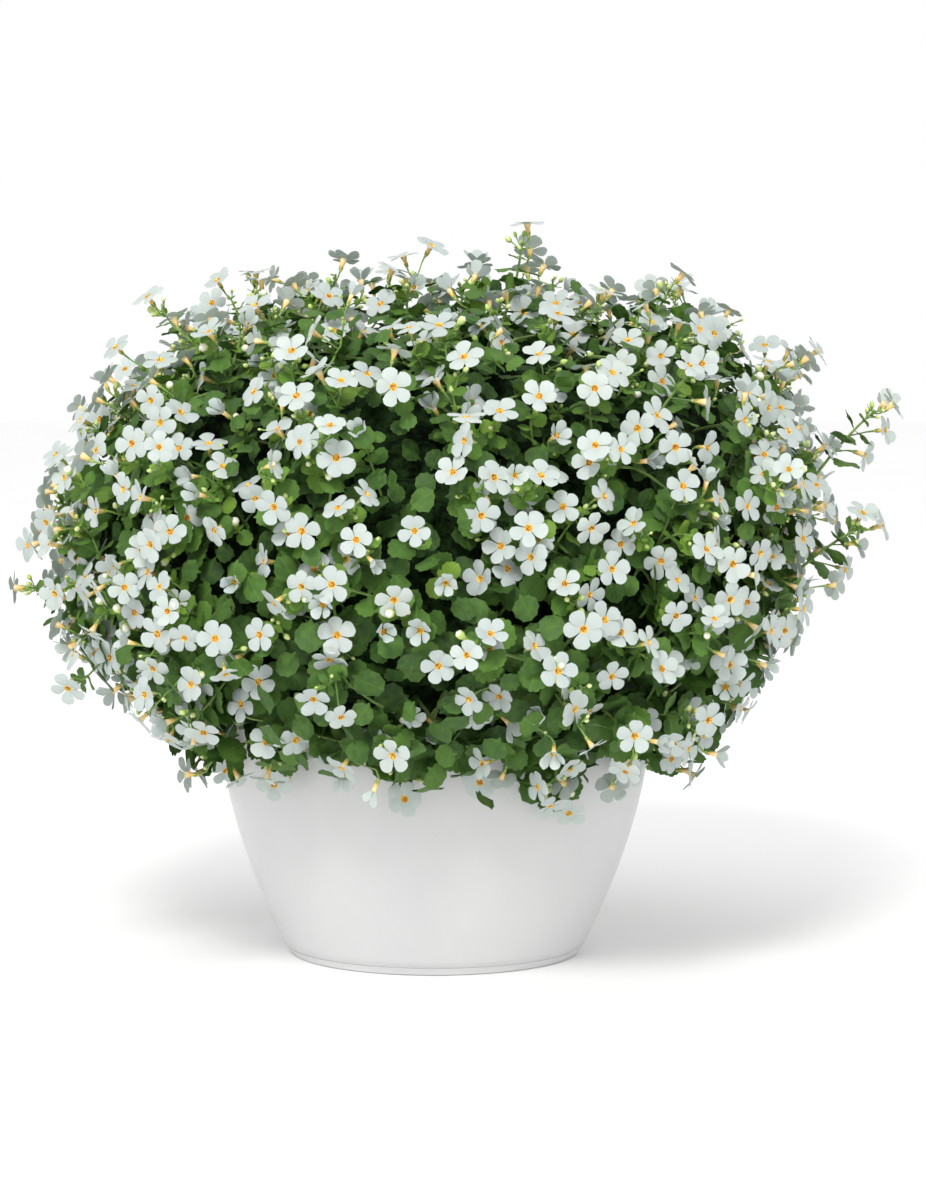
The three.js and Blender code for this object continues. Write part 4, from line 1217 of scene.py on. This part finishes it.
def soil_material():
    nodes = Nodes("potting_soil")
    grain = nodes.noise(320, 8, 0.7)
    colour = nodes.mix(nodes.range(grain, 0.3, 0.7), (0.018, 0.011, 0.007, 1), (0.09, 0.055, 0.032, 1))
    colour = nodes.mix(nodes.range(nodes.noise(120), 0.55, 0.7, 0, 0.6), colour, (0.14, 0.085, 0.05, 1))
    return nodes.finish(colour, nodes.bump(grain, 0.9, 0.002), Roughness=0.95)


def floor_material():
    nodes = Nodes("studio_floor")
    colour = nodes.mix(nodes.range(nodes.noise(3), 0.3, 0.7), (0.95, 0.95, 0.95, 1), (0.965, 0.965, 0.965, 1))
    return nodes.finish(colour, Roughness=0.8)


# In the order of the numbers LEAF to ANTHER.
PLANT_MATERIALS = (
    leaf_material,
    stem_material,
    bud_material,
    petal_material,
    throat_material,
    anther_material,
)


# Pot and soil


def pot_radius_at(height):
    share = min(max(height / POT_HEIGHT, 0), 1)
    return RIM_RADIUS - (RIM_RADIUS - FOOT_RADIUS) * (1 - share) ** POT_FLARE


def arc(centre, radius, start, end, steps):
    """Points of an arc in the plane of radius and height, by degrees from the outward way."""
    angles = np.radians(np.linspace(start, end, steps))
    return [(centre[0] + radius * math.cos(a), centre[1] + radius * math.sin(a)) for a in angles]


def turned_mesh(name, profile, sides):
    """A closed mesh turned about Z from a profile that starts and ends on the axis."""
    whole = turned_form(profile, sides, 0, [0] * len(profile))
    return mesh_from(name, whole["corners"], whole["triangles"])


def pot_piece():
    lip_radius = RIM_RADIUS + LIP_REACH
    profile = [(0, 0), (FOOT_RADIUS - FOOT_BEVEL, 0)]
    profile += arc((FOOT_RADIUS - FOOT_BEVEL, FOOT_BEVEL), FOOT_BEVEL, -60, 0, 4)
    for height, dent in ((FOOT_LINE - 0.5, 0), (FOOT_LINE, LINE_DEPTH), (FOOT_LINE + 0.5, 0)):
        profile.append((pot_radius_at(height) - dent, height))
    for height in np.linspace(9, POT_HEIGHT - LIP_DEPTH, 22):
        profile.append((pot_radius_at(height), height))
    lip_low = POT_HEIGHT - LIP_DEPTH + LIP_ROUND
    profile += arc((lip_radius - LIP_ROUND, lip_low + LIP_ROUND / 2), LIP_ROUND, -80, 0, 5)
    profile += arc((lip_radius - LIP_ROUND, POT_HEIGHT - LIP_ROUND), LIP_ROUND, 0, 90, 6)
    profile += arc((RIM_RADIUS - POT_WALL + 0.8, POT_HEIGHT - 0.8), 0.8, 95, 180, 4)
    for height in np.linspace(POT_HEIGHT - 4, POT_FLOOR + 4, 14):
        profile.append((pot_radius_at(height) - POT_WALL, height))
    profile += [(pot_radius_at(POT_FLOOR) - POT_WALL - 3, POT_FLOOR), (0, POT_FLOOR)]
    piece = linked("pot_shell", turned_mesh("pot_shell", profile, POT_SIDES))
    piece.data.materials.append(pot_material())
    return piece


def soil_height(x, y):
    """The soil's height at a place: a low crown with lumps of several sizes."""
    lumps = 0.0
    for scale, height, phase in SOIL_LUMPS:
        lumps += height * math.sin(x * scale + phase) * math.cos(y * scale * 1.13 + 2 * phase)
    share = math.hypot(x, y) / (RIM_RADIUS - 5)
    return SOIL_TOP + (SOIL_CROWN * (1 - share * share) + lumps)


def soil_piece():
    rng = np.random.default_rng(SOIL_SEED)
    edge = pot_radius_at(SOIL_TOP) - POT_WALL - SOIL_GAP
    low = pot_radius_at(POT_FLOOR) - POT_WALL - 2 * SOIL_GAP
    angles = [2 * math.pi * k / SOIL_SIDES for k in range(SOIL_SIDES)]
    corners = [[0, 0, soil_height(0, 0)]]
    for r in range(1, SOIL_RINGS + 1):
        for angle in angles:
            x, y = edge * r / SOIL_RINGS * math.cos(angle), edge * r / SOIL_RINGS * math.sin(angle)
            corners.append([x, y, soil_height(x, y) + rng.uniform(-0.3, 0.3)])
    for radius, height in ((low + 22, 60), (low, SOIL_BOTTOM)):
        corners += [[radius * math.cos(angle), radius * math.sin(angle), height] for angle in angles]
    corners.append([0, 0, SOIL_BOTTOM])
    body = form(corners, closed_rings(SOIL_SIDES, SOIL_RINGS + 2), 0, np.zeros((len(corners), 3)))
    heap = Heap()
    heap.add_copies(body, [(np.zeros(3), np.eye(3), 0, 0)])
    crumb = turned_form([(0, -1), (0.8, -0.5), (1, 0.1), (0.6, 0.7), (0, 1)], 6, 0, [0] * 5, 0.8)
    copies = []
    for _ in range(CRUMBS):
        radius, angle = (edge - 4) * math.sqrt(rng.random()), rng.uniform(0, 2 * math.pi)
        x, y = radius * math.cos(angle), radius * math.sin(angle)
        turn = turn_about_z(rng.uniform(0, 360)) @ np.diag(rng.uniform(0.6, 2.0, 3))
        copies.append((np.array([x, y, soil_height(x, y)]), turn, 0, 0))
    heap.add_copies(crumb, copies)
    return heap.piece("soil_fill", [soil_material()])


# Stage: floor, light and camera

CAMERA_AT = (0.0155, -2.19, 0.4)
LOOK_AT = (0.0155, 0, 0.1942)
LENS = 120
SENSOR_WIDTH = 36
KEY_AT, KEY_LOOKS_AT = (-0.45, -2.3, 2.1), (0, 0, 0.2)
KEY_SIZE, KEY_POWER, KEY_COLOUR = 0.7, 57, (1, 0.985, 0.96)
WORLD_LIGHT = 1.0
FLOOR_REACH, FLOOR_LOW, FLOOR_TOP = 6000, -40, -0.2


def aimed(name, data, place, target):
    """A new object that looks from one place at another."""
    made = bpy.data.objects.new(name, data)
    made.location = place
    made.rotation_euler = (Vector(target) - Vector(place)).to_track_quat("-Z", "Y").to_euler()
    bpy.context.scene.collection.objects.link(made)
    return made


def set_stage():
    scene = bpy.context.scene
    camera_data = bpy.data.cameras.new("camera")
    camera_data.lens = LENS
    camera_data.sensor_width = SENSOR_WIDTH
    scene.camera = aimed("camera", camera_data, CAMERA_AT, LOOK_AT)
    scene.view_settings.view_transform = "Standard"
    world = bpy.data.worlds.new("studio")
    world.use_nodes = True
    background = world.node_tree.nodes["Background"]
    background.inputs["Color"].default_value = (1, 1, 1, 1)
    background.inputs["Strength"].default_value = WORLD_LIGHT
    scene.world = world
    key = bpy.data.lights.new("key", "AREA")
    key.size, key.energy, key.color = KEY_SIZE, KEY_POWER, KEY_COLOUR
    aimed("key", key, KEY_AT, KEY_LOOKS_AT)
    slab = [(0, FLOOR_LOW), (FLOOR_REACH, FLOOR_LOW), (FLOOR_REACH, FLOOR_TOP), (0, FLOOR_TOP)]
    floor = linked("studio_floor", turned_mesh("studio_floor", slab, 64))
    floor.data.materials.append(floor_material())


def dress(piece, slot, *nodes):
    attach(piece, "root")
    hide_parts(*nodes)


def grow_plant():
    growth = Growth()
    growth.blooms_at = [shoot_tip(number)[2] for number in range(SHOOTS)]
    growth.blooms_at += [np.array(tip, float) for tip in STRAY_SPRAYS]
    grow_main_stems(growth)
    for number in range(SHOOTS):
        grow_shoot(growth, number)
    for number, tip in enumerate(STRAY_SPRAYS):
        grow_spray(growth, STRAY_SEED + number, tip, STRAY_PAIRS, STRAY_STEM, 5, STRAY_BLOOMS)
    grow_curtain(growth)
    grow_gap_blooms(growth)
    grow_inner_leaves(growth)
    materials = [make() for make in PLANT_MATERIALS]
    for i, cell in enumerate(CELLS):
        heap = Heap()
        for owner, *tube in growth.tubes:
            if owner == i:
                heap.add_tube(*tube)
        growth.fill(heap, [i], blooms=False)
        dress(heap.piece(f"{cell['name']}_leaves", materials), "leaves_and_blooms", cell["name"])
    for label, cells in BLOOM_GROUPS.items():
        heap = Heap()
        growth.fill(heap, cells, blooms=True)
        dress(heap.piece(label, materials), "leaves_and_blooms", *(CELLS[i]["name"] for i in cells))


set_stage()
dress(pot_piece(), "pot_plastic", "pot")
dress(soil_piece(), "potting_soil", "soil")
middle = painted_shade_core()
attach(middle, "root")
grow_plant()
